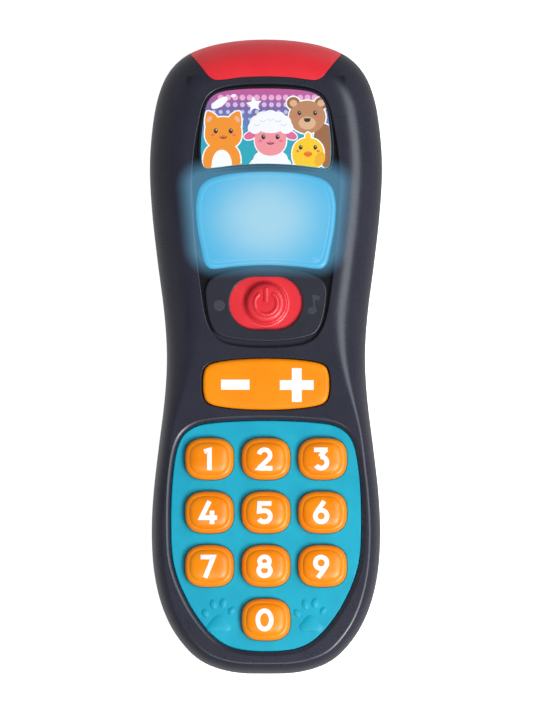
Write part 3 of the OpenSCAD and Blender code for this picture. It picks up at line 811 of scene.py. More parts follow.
def lightPanel():
    rings = [lift(inset(lampLoop, -1.1), slabZ - 1), lift(inset(lampLoop, -1.1), slabZ - 0.05),
             lift(lampLoop, slabZ - 0.05)]
    for t in np.radians(np.linspace(0, 90, 7)):
        rings.append(lift(shrink(lampLoop, lamp["edge"] * (1 - math.cos(t))),
                          lamp["top"] - lamp["edge"] * (1 - math.sin(t))))
    for across, down in ((-0.25, 0), (-0.12, 0.6), (0, 1), (0.12, 0.6), (0.25, 0)):
        rings.append(lift(shrink(lampLoop, lamp["groove"] + across),
                          lamp["top"] - lamp["grooveDepth"] * down))
    rings += swell(shrink(lampLoop, lamp["groove"] + 0.3), lamp["top"] + 0.02, lamp["crown"])
    base = solid(rings)
    hollow = shrink(lampLoop, 1.6)
    work(base, "DIFFERENCE", [prism(hollow, slabZ - 2, slabZ + 1.2)])
    return placed(base, "lightPanel", looks["light_plastic"], "case", ["light_panel"], 50)


plate = {"edge": 0.42, "holeRim": 0.3, "dot": (-12.5, 13.7, 1.45), "rise": 0.05}
note = {"head": (12.25, 12.35, 1.2, 0.95), "stem": [(13.05, 12.5), (12.6, 16.35)], "width": 0.55,
        "flag": [(12.45, 16.5), (14.3, 16.0), (14.05, 15.0), (13.6, 14.5), (13.7, 15.1), (12.6, 15.3)]}


def switchPlate():
    rings = [lift(plateLoop, consoleZ)]
    for t in np.radians(np.linspace(0, 90, 6)):
        rings.append(lift(inset(plateLoop, plate["edge"] * (1 - math.cos(t))),
                          plateZ - plate["edge"] * (1 - math.sin(t))))
    base = solid(rings)
    rim = plate["holeRim"]
    cut = [prism(stadium(15.7, 7.8), consoleZ - 1, consoleZ + 0.4), opening(plateHole, consoleZ, plateZ, rim)]
    work(base, "DIFFERENCE", cut)
    return placed(base, "switchPlate", looks["plate_plastic"], "case", ["switch_plate"])


def plateMarks():    # a dot for quiet and a note for songs
    form = Form()
    x, y, r = plate["dot"]
    top = plateZ + plate["rise"]
    form.rings([lift(circle(r, (x, y)), plateZ - 0.1), lift(circle(r, (x, y)), plateZ + 0.02),
                lift(circle(r - 0.12, (x, y)), top)])
    x, y, wide, tall = note["head"]
    tilt = math.radians(20)
    turn = np.array([[math.cos(tilt), math.sin(tilt)], [-math.sin(tilt), math.cos(tilt)]])
    head = circle(1, count=32) * (wide, tall) @ turn + (x, y)
    form.rings([lift(head, plateZ - 0.1), lift(head, plateZ + 0.02), lift(inset(head, 0.12), top)])
    form.ribbon(note["stem"], note["width"], lambda x, y: plateZ, plate["rise"] + 0.02, 0.1)
    flag = smoothLoop(np.array(note["flag"][::-1], float), 4)
    flag = flag if area(flag) > 0 else flag[::-1]
    form.rings([lift(flag, plateZ - 0.1), lift(flag, top + 0.04)])
    marks = form.toObject("marks")
    return placed(marks, "plateMarks", moulded("markGrey", (58, 59, 66), (66, 67, 74), 0.34), "case")


slider = {"skirt": (13.0, 7.6), "z": (22.65, 23.9), "knob": 5.5, "knobTop": 26.15, "knobEdge": 1.5,
          "dish": 0.0,
          "stem": (4.6, 19.3), "socket": 2.1}
power = {"ring": 3.02, "width": 1.3, "gap": 34, "bar": (4.0, 0.45), "barWidth": 1.5, "rise": 0.34}


def knobHeight(x, y):
    away = math.hypot(x, y - slotY) / (slider["knob"] - slider["knobEdge"])
    return slider["knobTop"] - slider["dish"] * max(0.0, 1 - away * away)


def powerSlider():
    half = slider["skirt"]
    low, high = slider["z"]
    rings = [lift(stadium(*half), low), lift(stadium(*half), high - 0.3),
             lift(stadium(half[0] - 0.3, half[1] - 0.3), high)]
    base = solid(rings)
    sides = []
    for r, z in ((slider["knob"] + 1.0, high - 0.2), (slider["knob"] + 0.95, high),
                 (slider["knob"] + 0.45, high + 0.08),
                 (slider["knob"] + 0.15, high + 0.3), (slider["knob"], high + 0.7)):
        sides.append(lift(circle(r, (0, slotY), 72), z))
    top, edge = slider["knobTop"], slider["knobEdge"]
    for t in np.radians(np.linspace(0, 90, 8)):
        sides.append(lift(circle(slider["knob"] - 0.15 - edge * (1 - math.cos(t)), (0, slotY), 72),
                          top - edge * (1 - math.sin(t))))
    for share in (0.9, 0.75, 0.6, 0.45, 0.3, 0.15, 0.03):
        r = (slider["knob"] - 0.15 - edge) * share
        sides.append(lift(circle(r, (0, slotY), 72), knobHeight(r, slotY)))
    wide, foot = slider["stem"]
    stem = prism(roundRect((-wide / 2, slotY - wide / 2), (wide / 2, slotY + wide / 2), 0.3, 4), foot,
                 low + 0.2)
    work(base, "UNION", [solid(sides), stem])
    hole = slider["socket"] / 2
    work(base, "DIFFERENCE", [prism(roundRect((-hole, slotY - hole), (hole, slotY + hole), 0.1, 2),
                                    foot - 1, foot + 1.8)])
    return placed(base, "powerSlider", looks["knob_plastic"], "slider", ["power_slider"], 38)


def powerSign():    # a rounded ridge: an open ring with a bar in its gap
    form = Form()
    gap, wide = power["gap"], power["width"]
    ring = arc((0, slotY), (power["ring"],) * 2, 90 + gap, 450 - gap, 56)
    upright = [(0, slotY + y) for y in np.linspace(*power["bar"], 12)]
    for path, width in ((ring, wide), (upright, power["barWidth"])):
        form.ribbon(path, width, knobHeight, 0.02, 0.3, across=10, crown=power["rise"])
    return placed(form.toObject("sign"), "powerSign", looks["knob_plastic"], "slider", (), 60)


lightPanel()
switchPlate()
plateMarks()
powerSlider()
powerSign()


# the keypad

print("keypad")
panelLow, panelHigh = boxOf("keypad_panel")[1][2] - 2.4, boxOf("keypad_panel")[1][2]
keyData = {"half": (6.55, 5.65), "power": 2.8, "hole": 0.05, "flange": 0.7, "foot": 19.6, "stem": 2.2,
           "profile": [(0, 21.55), (0.02, 25.0), (0.07, 25.38), (0.2, 25.74), (0.42, 26.04), (0.7, 26.26),
                       (1.0, 26.38), (1.16, 26.42), (1.24, 26.43), (1.3, 26.5), (1.4, 26.66), (1.6, 26.86),
                       (1.9, 27.05), (2.3, 27.2), (2.9, 27.35), (3.7, 27.45), (4.6, 27.5), (5.4, 27.52)],
           "digitHeight": 0.045, "digitWidth": 1.24, "digitShift": -0.4}
paw = {"spots": [(-12.6, -71.4), (11.9, -71.4)], "rise": 0.42,
       "toes": [(-3.65, 2.9, 0.85, 1.2, 32), (-1.45, 5.3, 0.95, 1.35, 10), (1.15, 5.6, 0.95, 1.35, -12),
                (3.4, 3.5, 0.85, 1.2, -34)]}


def keySpot(digit):
    low, high = boxOf("key_%d" % digit)
    return (low[0] + high[0]) / 2, (low[1] + high[1]) / 2


def keyShape(depth, centre=(0, 0), power=None, count=72):
    a, b = keyData["half"]
    return squircle(a - depth, b - depth, power or keyData["power"], centre, count)


def keyHeight(x, y):    # top of a key at a point from its middle
    a, b = keyData["half"]
    low, high = 0.0, b - 0.01
    for _ in range(22):
        depth = (low + high) / 2
        p = keyData["power"]
        if (abs(x) / (a - depth)) ** p + (abs(y) / (b - depth)) ** p < 1:
            low = depth
        else:
            high = depth
    depths, heights = zip(*keyData["profile"][1:])
    return float(np.interp(low, depths, heights))


def keyCap(digit):
    x, y = keySpot(digit)
    skirt = keyShape(-keyData["flange"], (x, y))
    rings = [lift(skirt, panelLow - 0.85), lift(skirt, panelLow - 0.05)]
    rings += [lift(keyShape(depth, (x, y)), height) for depth, height in keyData["profile"]]
    base = solid(rings)
    foot = keyData["foot"]
    work(base, "UNION", [rod(keyData["stem"], (x, y, foot), (x, y, panelLow - 0.5))])
    name = "key_%d" % digit
    return placed(base, "keyCap_%d" % digit, looks["key_plastic"], name, [name], 50)


def upsideDown(strokes):
    return [[(-x, -y) for x, y in stroke] for stroke in strokes]


six = [arc((0, -0.9), (1.55, 1.55), 90, 450, 32)[:-1], [(0.85, 3.05), (-0.28, 1.5), (-1.28, 0.0)]]
digits = {    # strokes about each digit's middle, in the order that they are laid
    1: [[(-1.0, 1.95), (0.42, 2.36), (0.42, -3.0)]],
    2: [arc((0, 1.0), (1.5, 1.48), 170, -38, 18) + [(-1.5, -2.48), (2.1, -2.48)]],
    3: [[(-1.95, 2.45), (1.75, 2.45)], [(1.25, 2.55), (-0.3, 0.62)],
        arc((0, -0.93), (1.52, 1.52), 98, -150, 22)],
    4: [[(0.45, 3.05), (-1.75, -1.35), (2.45, -1.35)], [(1.1, 0.55), (1.1, -3.05)]],
    5: [[(1.85, 2.45), (-1.3, 2.45), (-1.42, 0.35)] + arc((-0.05, -0.95), (1.6, 1.5), 112, -150, 20)],
    6: six,
    7: [[(-1.95, 2.45), (1.5, 2.45), (-0.75, -3.05)]],
    8: [arc((0, 1.3), (1.3, 1.22), 90, 450, 28)[:-1], arc((0, -1.12), (1.55, 1.4), 90, 450, 32)[:-1]],
    9: upsideDown(six),
    0: [arc((0, 0), (1.78, 2.45), 90, 450, 40)[:-1]],
}


def fine(path, step=0.45):    # the same path with points no further apart than step
    points = [path[0]]
    for start, end in zip(path, path[1:]):
        count = max(1, math.ceil(math.dist(start, end) / step))
        points += [tuple(np.array(start) + (np.array(end) - np.array(start)) * k / count)
                   for k in range(1, count + 1)]
    return points


def digitPrint(digit):
    x, y = keySpot(digit)
    form = Form()
    shift = keyData["digitShift"]
    for order, stroke in enumerate(digits[digit]):
        closed = math.dist(stroke[0], stroke[-1]) < 0.6 and len(stroke) > 20
        path = [(px + shift + x, py + y) for px, py in (stroke if closed else fine(stroke))]
        form.ribbon(path, keyData["digitWidth"], lambda px, py: keyHeight(px - x, py - y),
                    keyData["digitHeight"] + 0.01 * order, 0.1, closed, 4)
    return placed(form.toObject("digit"), "digit_%d" % digit, looks["white_plastic"], "key_%d" % digit)


def dome(outline, base, rise, steps=6):    # a soft raised pad standing in a surface
    rings = [lift(inset(outline, -0.12), base - 0.3), lift(inset(outline, -0.1), base)]
    middle = outline.mean(0)
    for t in np.linspace(0, 1, steps)[1:]:
        share = math.cos(t * math.pi / 2 * 0.97)
        rings.append(lift(middle + (outline - middle) * share, base + rise * math.sin(t * math.pi / 2)))
    return rings


def pawPads():
    form = Form()
    for x, y in paw["spots"]:
        turn = np.arange(48) * 2 * math.pi / 48
        reach = 2.55 + 0.42 * np.cos(3 * (turn - math.pi / 2)) + 0.12 * np.cos(2 * turn)
        pad = np.stack([x + reach * np.cos(turn) * 1.12, y - 0.25 + reach * np.sin(turn) * 0.92], 1)
        form.rings(dome(pad, panelHigh, paw["rise"]))
        for dx, dy, wide, tall, lean in paw["toes"]:
            spin = Matrix.Rotation(math.radians(-lean), 2)
            toe = np.array([(x + dx, y + dy) + np.array(spin.transposed())[:, :] @ p
                            for p in circle(1, count=24) * (wide, tall)])
            form.rings(dome(toe, panelHigh, paw["rise"] * 0.9))
    return form.toObject("pads")


def keypadPanel():
    edge = 0.3
    rings = [lift(inset(panelLoop, -0.6), panelLow), lift(inset(panelLoop, -0.6), panelLow + 0.8),
             lift(panelLoop, panelLow + 0.8)]
    for t in np.radians(np.linspace(0, 90, 4)):
        rings.append(lift(inset(panelLoop, edge * (1 - math.cos(t))), panelHigh - edge * (1 - math.sin(t))))
    base = solid(rings)
    added = [rod(3.2, (x, y, seamZ + 0.4), (x, y, panelLow + 0.4)) for x, y in bothSides(postSpots[2:])]
    added += [rod(1.7, (x, y, 17), (x, y, panelLow + 0.2)) for x, y in bothSides(boardSpots[1:])]
    work(base, "UNION", added + [pawPads()])
    cut = [opening(keyShape(-keyData["hole"], keySpot(k)), panelLow - 1, panelHigh, 0.2, steps=3)
           for k in range(10)]
    cut += [rod(1.3, (x, y, seamZ), (x, y, seamZ + 7.5)) for x, y in bothSides(postSpots[2:])]
    work(base, "DIFFERENCE", cut)
    return placed(base, "keypadPanel", looks["teal_plastic"], "case", ["keypad_panel"], 40)


keypadPanel()
for digit in range(10):
    keyCap(digit)
    digitPrint(digit)


def rockerHeight(x, y):
    across = x / rocker["tip"]
    up = (y - rocker["y"]) / 6.85
    return rocker["top"] - rocker["crown"] * min(1.0, across * across * 0.7 + up * up * 0.7)


def volumeRocker():
    top, edge = rocker["top"] - rocker["crown"] * 0.95, rocker["edge"]
    rings = [lift(inset(rockerLoop, 0.15), rocker["low"]), lift(rockerLoop, rocker["low"] + 0.3)]
    for t in np.radians(np.linspace(0, 80, 7)):
        rings.append(lift(inset(rockerLoop, edge * (1 - math.cos(t))), top - edge * (1 - math.sin(t))))
    flat = inset(rockerLoop, edge * 1.05)
    middle = np.array([0, rocker["y"]])
    for share in np.linspace(1, 0.05, 9):
        ring = middle + (flat - middle) * share
        rings.append(np.c_[ring, [rockerHeight(*p) for p in ring]])
    base = solid(rings)
    added = [rod(1.18, (0, rocker["y"] - 8.4, rocker["pivot"]), (0, rocker["y"] + 8.8, rocker["pivot"]), "y")]
    added += [rod(2, (side * 11, rocker["y"], 19.6), (side * 11, rocker["y"], 20.6)) for side in (1, -1)]
    work(base, "UNION", added)
    return placed(base, "volumeRocker", looks["orange_plastic"], "rocker",
                  ["volume_rocker"], 40)


silicone = {"spread": 1.4, "keyTop": 2.4, "padTop": 2.2, "z": (17.9, 19.5), "keyKeep": 0.28, "padKeep": 0.42,
            "padX": 11.0}


def siliconeSheet(node, name):    # the thin web between the domes, with the CAD piece's own holes
    low, high = boxOf(node)[0][2], silicone["z"][0]
    loops = loopsAt(node, low)
    base = prism(loops[0], low, high)
    if loops[1:]:
        work(base, "DIFFERENCE", [prism(loop, low - 1, high + 1) for loop in loops[1:]])
    placed(base, name, looks["mat_silicone"], "case", [node])


def siliconeDome(x, y, top, name, joint, keep):    # a silicone dome under a key or a rocker end
    low, high = silicone["z"]
    tall, spread = high - low, silicone["spread"]
    rings = [lift(circle(top + spread + 0.1, (x, y), 36), low - 0.05)]
    for share, up in ((1.0, 0.0), (0.82, 0.16), (0.5, 0.4), (0.22, 0.72), (0.1, 0.88), (0.0, 0.96),
                      (-0.12, 1.0)):
        rings.append(lift(circle(top + spread * share, (x, y), 36), low + tall * up))
    rings.append(lift(circle(top * 0.55, (x, y), 36), high))
    dome = placed(solid(rings), name, looks["mat_silicone"], "case")
    x * mm
    y * mm
    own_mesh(dome)


siliconeSheet("keypad_mat", "keyMat")
siliconeSheet("rocker_pad", "rockerMat")
for digit in range(10):
    siliconeDome(*keySpot(digit), silicone["keyTop"], "keyDome_%d" % digit, "key_%d_press" % digit,
                 silicone["keyKeep"])
for side, name in ((-1, "rockerDomeLeft"), (1, "rockerDomeRight")):
    siliconeDome(side * silicone["padX"], rocker["y"], silicone["padTop"], name, "volume_rock",
                 silicone["padKeep"])


signs = {"minus": (-8.2, -7.5, 7.6, 2.7), "plus": (8.2, -7.6, 9.0, 2.6), "rise": 0.05}


def rockerSigns():
    form = Form()

    def strip(start, end, width):
        form.ribbon(fine([start, end], 0.7), width, rockerHeight, signs["rise"], 0.12, across=6)

    x, y, length, width = signs["minus"]
    strip((x - length / 2, y), (x + length / 2, y), width)
    x, y, length, width = signs["plus"]
    strip((x - length / 2, y), (x + length / 2, y), width)
    for side in (1, -1):
        strip((x, y + side * width / 2), (x, y + side * length / 2), width)
    return placed(form.toObject("signs"), "rockerSigns", looks["white_plastic"], "rocker")


volumeRocker()
rockerSigns()


# the label's drawing: four made-up animals in flat inks, laid in thin layers

print("picture")
labelZ = boxOf("picture_label")[1][2]
inks = {"white": (255, 255, 255), "kitten": (248, 148, 20), "kittenEar": (246, 180, 150),
        "nose": (214, 84, 96), "lamb": (244, 148, 156), "lambEar": (226, 104, 150),
        "wool": (250, 250, 252), "woolShade": (206, 214, 228), "bear": (190, 134, 92),
        "bearDark": (156, 102, 58), "bearPale": (224, 178, 138), "chick": (252, 204, 18),
        "chickShade": (242, 178, 14), "beak": (244, 122, 26), "beakDark": (196, 80, 20),
        "night": (30, 20, 24), "cheek": (242, 98, 92)}
layer = 0.0022    # thickness of one ink


def oval(x, y, wide, tall, lean=0, count=28):
    lean = math.radians(lean)
    p = circle(1, count=count) * (wide, tall)
    return np.stack([x + p[:, 0] * math.cos(lean) - p[:, 1] * math.sin(lean),
                     y + p[:, 0] * math.sin(lean) + p[:, 1] * math.cos(lean)], 1)


def soft(points, steps=5):    # a closed smooth shape through a few points
    loop = smoothLoop(np.array(points, float), steps)
    return loop if area(loop) > 0 else loop[::-1]


def star(x, y, outer, inner, tips=5, lean=0):
    turn = np.arange(tips * 2) * math.pi / tips + math.pi / 2 + math.radians(lean)
    reach = np.where(np.arange(tips * 2) % 2, inner, outer)
    return np.stack([x + reach * np.cos(turn), y + reach * np.sin(turn)], 1)


class Drawing:
    def __init__(self, outline):
        self.form, self.outline, self.laid = Form(), outline, []

    def inside(self, points):    # points past the label's edge are brought back to it
        near = self.outline
        ahead = np.roll(near, -1, 0) - near
        held = []
        for p in points:
            off = p - near
            crossed = (near[:, 1] > p[1]) != (np.roll(near, -1, 0)[:, 1] > p[1])
            slope = np.where(crossed, ahead[:, 1], 1)
            hits = crossed & (p[0] < near[:, 0] + (p[1] - near[:, 1]) * ahead[:, 0] / slope)
            held.append(p if np.count_nonzero(hits) % 2 else near[np.argmin(np.sum(off * off, 1))])
        loop, seen = [], set()
        for p in held:
            key = (round(float(p[0]), 2), round(float(p[1]), 2))
            if key not in seen:
                seen.add(key)
                loop.append(p)
        return np.array(loop)

    def lay(self, loop, ink, level):    # a higher level covers a lower one of the same figure
        loop = self.inside(loop)
        if len(loop) > 2 and abs(area(loop)) > 0.01:
            self.laid.append((self.figure, level, len(self.laid), loop, tone(*inks[ink])))

    def finish(self):
        for order, (_, _, _, loop, ink) in enumerate(sorted(self.laid, key=lambda entry: entry[:3])):
            self.form.patch(loop, labelZ + 0.012 + layer * order, labelZ - 0.03 - 0.0007 * order, ink)
        return self.form.toObject("art")

    def figureOf(self, number, parts, edge=0.36):    # parts: (outline, ink, level); white border round all
        self.figure = number
        for loop, _, _ in parts:
            self.lay(inset(loop, -edge), "white", 0)
        for loop, ink, level in parts:
            self.lay(loop, ink, level)

    def face(self, x, y, gap, size, cheek="cheek", smile=1.0):    # button eyes, round cheeks, a curved mouth
        for side in (1, -1):
            self.lay(oval(x + side * gap, y, size * 0.8, size), "night", 6)
            self.lay(oval(x + side * gap + size * 0.2, y + size * 0.36, size * 0.22, size * 0.22), "white", 7)
            self.lay(oval(x + side * (gap + size * 1.25), y - size * 1.6, size * 0.72, size * 0.46), cheek, 5)
        if smile:
            self.lay(line(arc((x, y - size * 1.9), (smile, smile * 0.7), 200, 340, 8), 0.28), "night", 6)


def line(path, width):    # a drawn line as a closed outline
    path = np.array(path, float)
    along = np.gradient(path, axis=0)
    side = np.stack([-along[:, 1], along[:, 0]], 1) / np.linalg.norm(along, axis=1)[:, None] * width / 2
    loop = np.concatenate([path - side, (path + side)[::-1]])
    return loop if area(loop) > 0 else loop[::-1]


def drawBear(pen):
    head, body = oval(11.0, 63.9, 4.9, 4.4), oval(16.2, 56.0, 3.4, 6.2, 12)
    ears = [oval(11.0 + side * 3.7, 67.6, 1.75, 1.65) for side in (1, -1)]
    pen.figureOf(1, [(body, "bearDark", 1), *((ear, "bearDark", 1) for ear in ears), (head, "bear", 2)])
    for ear in ears:
        pen.lay(inset(ear, 0.75), "bearPale", 2)
    pen.lay(oval(11.0, 62.3, 2.3, 1.75), "bearPale", 3)
    pen.lay(oval(11.0, 63.1, 0.85, 0.55), "night", 6)
    pen.face(11.0, 65.0, 2.1, 0.62, smile=0.9)


def drawKitten(pen):
    head = squircle(4.9, 4.3, 2.3, (-11.4, 59.6), 40)
    ears = [soft([(-11.4 + side * 4.6, 61.2), (-11.4 + side * 4.3, 65.4), (-11.4 + side * 1.5, 63.6)], 6)
            for side in (1, -1)]
    body, bib = squircle(5.0, 5.4, 2.6, (-11.8, 51.6), 40), oval(-11.8, 51.2, 2.7, 4.0)
    pen.figureOf(2, [(body, "kitten", 1), *((ear, "kitten", 1) for ear in ears), (head, "kitten", 3)])
    pen.lay(bib, "white", 2)
    for side in (1, -1):
        pen.lay(oval(-11.4 + side * 3.7, 63.3, 0.6, 0.95, side * 25), "kittenEar", 2)
    pen.lay(soft([(-11.9, 58.95), (-10.9, 58.95), (-11.4, 58.35)], 3), "nose", 6)
    pen.face(-11.4, 60.2, 2.0, 0.68, smile=0.95)


def drawLamb(pen):
    wool = [oval(1.2 + 4.1 * math.cos(t), 61.0 + 2.9 * math.sin(t), 1.7, 1.6)
            for t in np.radians(np.linspace(0, 180, 7))]
    fleece = [oval(1.2 + 3.3 * math.cos(t), 50.9 + 2.3 * math.sin(t), 2.0, 1.9)
              for t in np.radians(np.linspace(0, 360, 9)[:-1])]
    ears = [oval(1.2 + side * 5.4, 59.0, 1.7, 1.0, -side * 22) for side in (1, -1)]
    face = squircle(4.2, 4.3, 2.2, (1.2, 57.9), 40)
    crown, middle = oval(1.2, 61.9, 4.1, 2.3), oval(1.2, 50.9, 3.6, 2.7)
    pen.figureOf(3, [*((ear, "lambEar", 1) for ear in ears),
                     *((part, "wool", 1) for part in (*fleece, middle)),
                     (face, "lamb", 2), *((tuft, "wool", 3) for tuft in (*wool, crown))], 0.3)
    for tuft in wool[1:-1]:
        pen.lay(line(arc(tuft.mean(0), (0.9, 0.85), 210, 330, 6), 0.16), "woolShade", 4)
    pen.lay(oval(1.2, 57.1, 0.5, 0.34), "lambEar", 6)
    pen.face(1.2, 58.6, 1.9, 0.66, "lambEar", 0.95)


def drawChick(pen):
    body, wing = squircle(4.2, 4.3, 2.2, (11.2, 54.0), 40), oval(14.4, 52.7, 1.3, 2.0, -24)
    tuft = oval(11.2, 58.8, 0.75, 0.95)
    pen.figureOf(4, [(tuft, "chick", 1), (body, "chick", 2)])
    pen.lay(wing, "chickShade", 3)
    pen.lay(soft([(10.0, 54.1), (11.2, 54.8), (12.4, 54.1), (11.2, 53.1)], 3), "beak", 6)
    pen.lay(line([(10.1, 54.05), (11.2, 53.85), (12.3, 54.05)], 0.18), "beakDark", 7)
    pen.face(11.2, 55.8, 1.95, 0.62, smile=0)


def labelArt():
    pen = Drawing(inset(pictureLoop, 0.12))
    pen.figure = 0
    for shape in (star(-3.2, 67.3, 2.2, 1.05, 5, 8), oval(-12.4, 67.7, 2.55, 1.05, 33),
                  oval(-8.7, 69.6, 0.7, 0.42, 10)):
        pen.lay(shape, "white", 1)
    for draw in (drawBear, drawKitten, drawLamb, drawChick):
        draw(pen)
    return placed(pen.finish(), "labelArt", inkPrint(), "case")


dots = {"pitch": 1.93, "firstX": -0.5, "topY": 71.05, "rows": 6, "radius": 0.92, "fade": 0.14}


def dotTree(kit, given):
    disc = bar(kit, given["Radius"], -0.03, 0.0, 14)
    share = kit.node("GeometryNodeInputPosition")
    drop = kit.node("ShaderNodeSeparateXYZ", {}, [share], 1)
    row = (given["Top"] - drop) / given["Pitch"]
    size = (1 - row * given["Fade"]).above(0.25)
    return onPoints(kit, given["Geometry"], disc, kit.node("ShaderNodeCombineXYZ", {}, [size, size, 1]))


def halftone():
    edge = Drawing(inset(pictureLoop, dots["radius"] + 0.1))
    spots = []
    for row in range(dots["rows"]):
        y = dots["topY"] - row * dots["pitch"]
        for k in range(-9, 10):
            p = np.array([dots["firstX"] + k * dots["pitch"], y])
            if len(edge.inside([p, p + 0.001])) and math.dist(edge.inside([p])[0], p) < 0.35:
                spots.append((*edge.inside([p])[0], labelZ + 0.008))
    ink = dotPrint()
    sizes = {"Radius": dots["radius"], "Pitch": dots["pitch"], "Top": dots["topY"], "Fade": dots["fade"]}
    return placed(grow("dots", spots, sizes, dotTree, ink), "labelDots", ink, "case")


halftone()
labelArt()


# the back: battery door, cells, springs and screws

print("back")


def batteryDoor():
    low, high = door["z"]
    bead = (high - low) / 2
    profile = [(y, z) for y, z in arc((door["low"] + bead, low + bead), (bead, bead), 90, 270, 10)]
    profile += [(door["high"] - 0.25, low), (door["high"], low + 0.25), (door["high"], high)]
    half = door["half"]
    rings = [[(x, y, z) for y, z in profile] for x in (half - 0.25, half)]
    rings = [np.array([(side * x, y, z + (0.0 if x < half or z > low + 0.3 else 0.25)) for x, y, z in ring])
             for side, ring in ((-1, rings[1]), (-1, rings[0]), (1, rings[0]), (1, rings[1]))]
    base = solid([ring[::-1] for ring in rings])
    form = bmesh.new()
    form.from_mesh(base.data)
    bmesh.ops.recalc_face_normals(form, faces=form.faces)
    form.to_mesh(base.data)
    form.free()
    added = [prism(roundRect((side * 8 - 2, door["low"] - 2), (side * 8 + 2, door["low"] + 1), 0.4, 4),
                   1.05, high)
             for side in (1, -1)]
    ribs = [(0, door["ribY"] + k * door["ribPitch"], low) for k in range(door["ribs"])]
    added.append(grow("ribs", ribs, {"Half length": door["ribHalf"], "Radius": 0.5, "Shrink": 0.9}, ribTree,
                      looks["rear_plastic"]))
    work(base, "UNION", added)
    y = door["screwY"]
    work(base, "DIFFERENCE", [rod(1.6, (0, y, -1), (0, y, 3)),
                              solid([lift(circle(r, (0, y)), z) for r, z in ((3.3, -0.5), (3.3, 0.15),
                                                                             (3, 0.45),
                                                                             (3, 0.95))])])
    return placed(base, "batteryDoor", looks["rear_plastic"], "door", ["battery_door"])


def ribTree(kit, given):    # a flattened bar lying across the door, shorter towards the last
    line = kit.node("GeometryNodeCurvePrimitiveLine", {}, {
        "Start": kit.node("ShaderNodeCombineXYZ", {}, [-given["Half length"], 0, 0]),
        "End": kit.node("ShaderNodeCombineXYZ", {}, [given["Half length"], 0, 0])})
    section = kit.node("GeometryNodeCurvePrimitiveCircle", {}, {"Resolution": 16, "Radius": given["Radius"]})
    rib = kit.node("GeometryNodeCurveToMesh", {},
                   {"Curve": line, "Profile Curve": section, "Fill Caps": True})
    flat = kit.node("GeometryNodeTransform", {}, {"Geometry": rib, "Scale": (1, 1, 0.34)})
    order = kit.node("GeometryNodeInputIndex")
    size = given["Shrink"] ** order
    return onPoints(kit, given["Geometry"], flat, kit.node("ShaderNodeCombineXYZ", {}, [size, 1, 1]))


screws = {"housing": {"Head radius": 2.5, "Head low": 5.4, "Head high": 7.5, "Shank radius": 1.25,
                      "Shank high": 19.0, "Slot length": 3.3, "Slot width": 0.55, "Slot depth": 0.9},
          "door": {"Head radius": 2.7, "Head low": 0.3, "Head high": 0.9, "Shank radius": 1.35,
                   "Shank high": 6.5,
                   "Slot length": 3.4, "Slot width": 0.6, "Slot depth": 0.42}}


def screwTree(kit, given):    # a pan head with a crossed recess, on a straight shank
    def merged(operation, first, second):
        inputs = {"Mesh 2": [first, second]} if operation == "UNION" else {"Mesh 1": first, "Mesh 2": second}
        return kit.node("GeometryNodeMeshBoolean", {"operation": operation, "solver": "EXACT"}, inputs)

    low, high, radius = given["Head low"], given["Head high"], given["Head radius"]
    crown = (high - low) * 0.3
    up = kit.node("ShaderNodeCombineXYZ", {}, [0, 0, low])
    cone = kit.node("GeometryNodeMeshCone", {},
                    {"Vertices": 40, "Radius Top": radius, "Radius Bottom": radius * 0.86,
                                                 "Depth": crown})
    whole = kit.node("GeometryNodeTransform", {}, {"Geometry": cone, "Translation": up})
    whole = merged("UNION", whole, bar(kit, radius, low + crown * 0.9, high, 40))
    whole = merged("UNION", whole, bar(kit, given["Shank radius"], high - 0.1, given["Shank high"], 24))
    for wide, tall, share in (("Slot length", "Slot width", 2.0), ("Slot width", "Slot length", 1.9)):
        size = kit.node("ShaderNodeCombineXYZ", {}, [given[wide], given[tall], given["Slot depth"] * share])
        cube = kit.node("GeometryNodeMeshCube", {}, {"Size": size})
        whole = merged("DIFFERENCE", whole,
                       kit.node("GeometryNodeTransform", {}, {"Geometry": cube, "Translation": up}))
    return onPoints(kit, given["Geometry"], whole)


def allScrews():
    spots = [(x, y, 0) for x, y in bothSides(postSpots)]
    set1 = grow("screws", spots, screws["housing"], screwTree, looks["screw_steel"])
    placed(set1, "housingScrews", looks["screw_steel"], "case", ["housing_screws"])
    one = grow("screw", [(0, door["screwY"], 0)], screws["door"], screwTree, looks["screw_steel"])
    placed(one, "doorScrew", looks["screw_steel"], "door_screw", ["door_screw"])


spring = {"Wire radius": 0.3, "Turns": 2.5, "Start radius": 3.2, "End radius": 1.9, "Length": 1.33}


def springTree(kit, given):    # a cone of wire, facing its cell
    spiral = kit.node("GeometryNodeCurveSpiral", {}, {
        "Resolution": 48, "Rotations": given["Turns"], "Start Radius": given["Start radius"],
        "End Radius": given["End radius"], "Height": given["Length"]})
    section = kit.node("GeometryNodeCurvePrimitiveCircle", {},
                       {"Resolution": 10, "Radius": given["Wire radius"]})
    wire = kit.node("GeometryNodeCurveToMesh", {},
                    {"Curve": spiral, "Profile Curve": section, "Fill Caps": True})
    x = kit.node("ShaderNodeSeparateXYZ", {}, [kit.node("GeometryNodeInputPosition")], 0)
    way = kit.node("ShaderNodeCombineXYZ", {}, [x.maths("SIGN", x) * (math.pi / 2), 0, 0])
    return onPoints(kit, given["Geometry"], wire, turn=way)


cell = {"x": 5.75, "z": 7.35, "radius": 5.25, "length": 44.5, "nub": 1.9}


def springs():
    spots = [(cell["x"], bay["high"] - 0.75, cell["z"]), (-cell["x"], bay["low"] + 0.75, cell["z"])]
    pair = grow("springs", spots, spring, springTree, looks["spring_steel"])
    placed(pair, "batterySprings", looks["spring_steel"], "case", ["battery_springs"], 50)


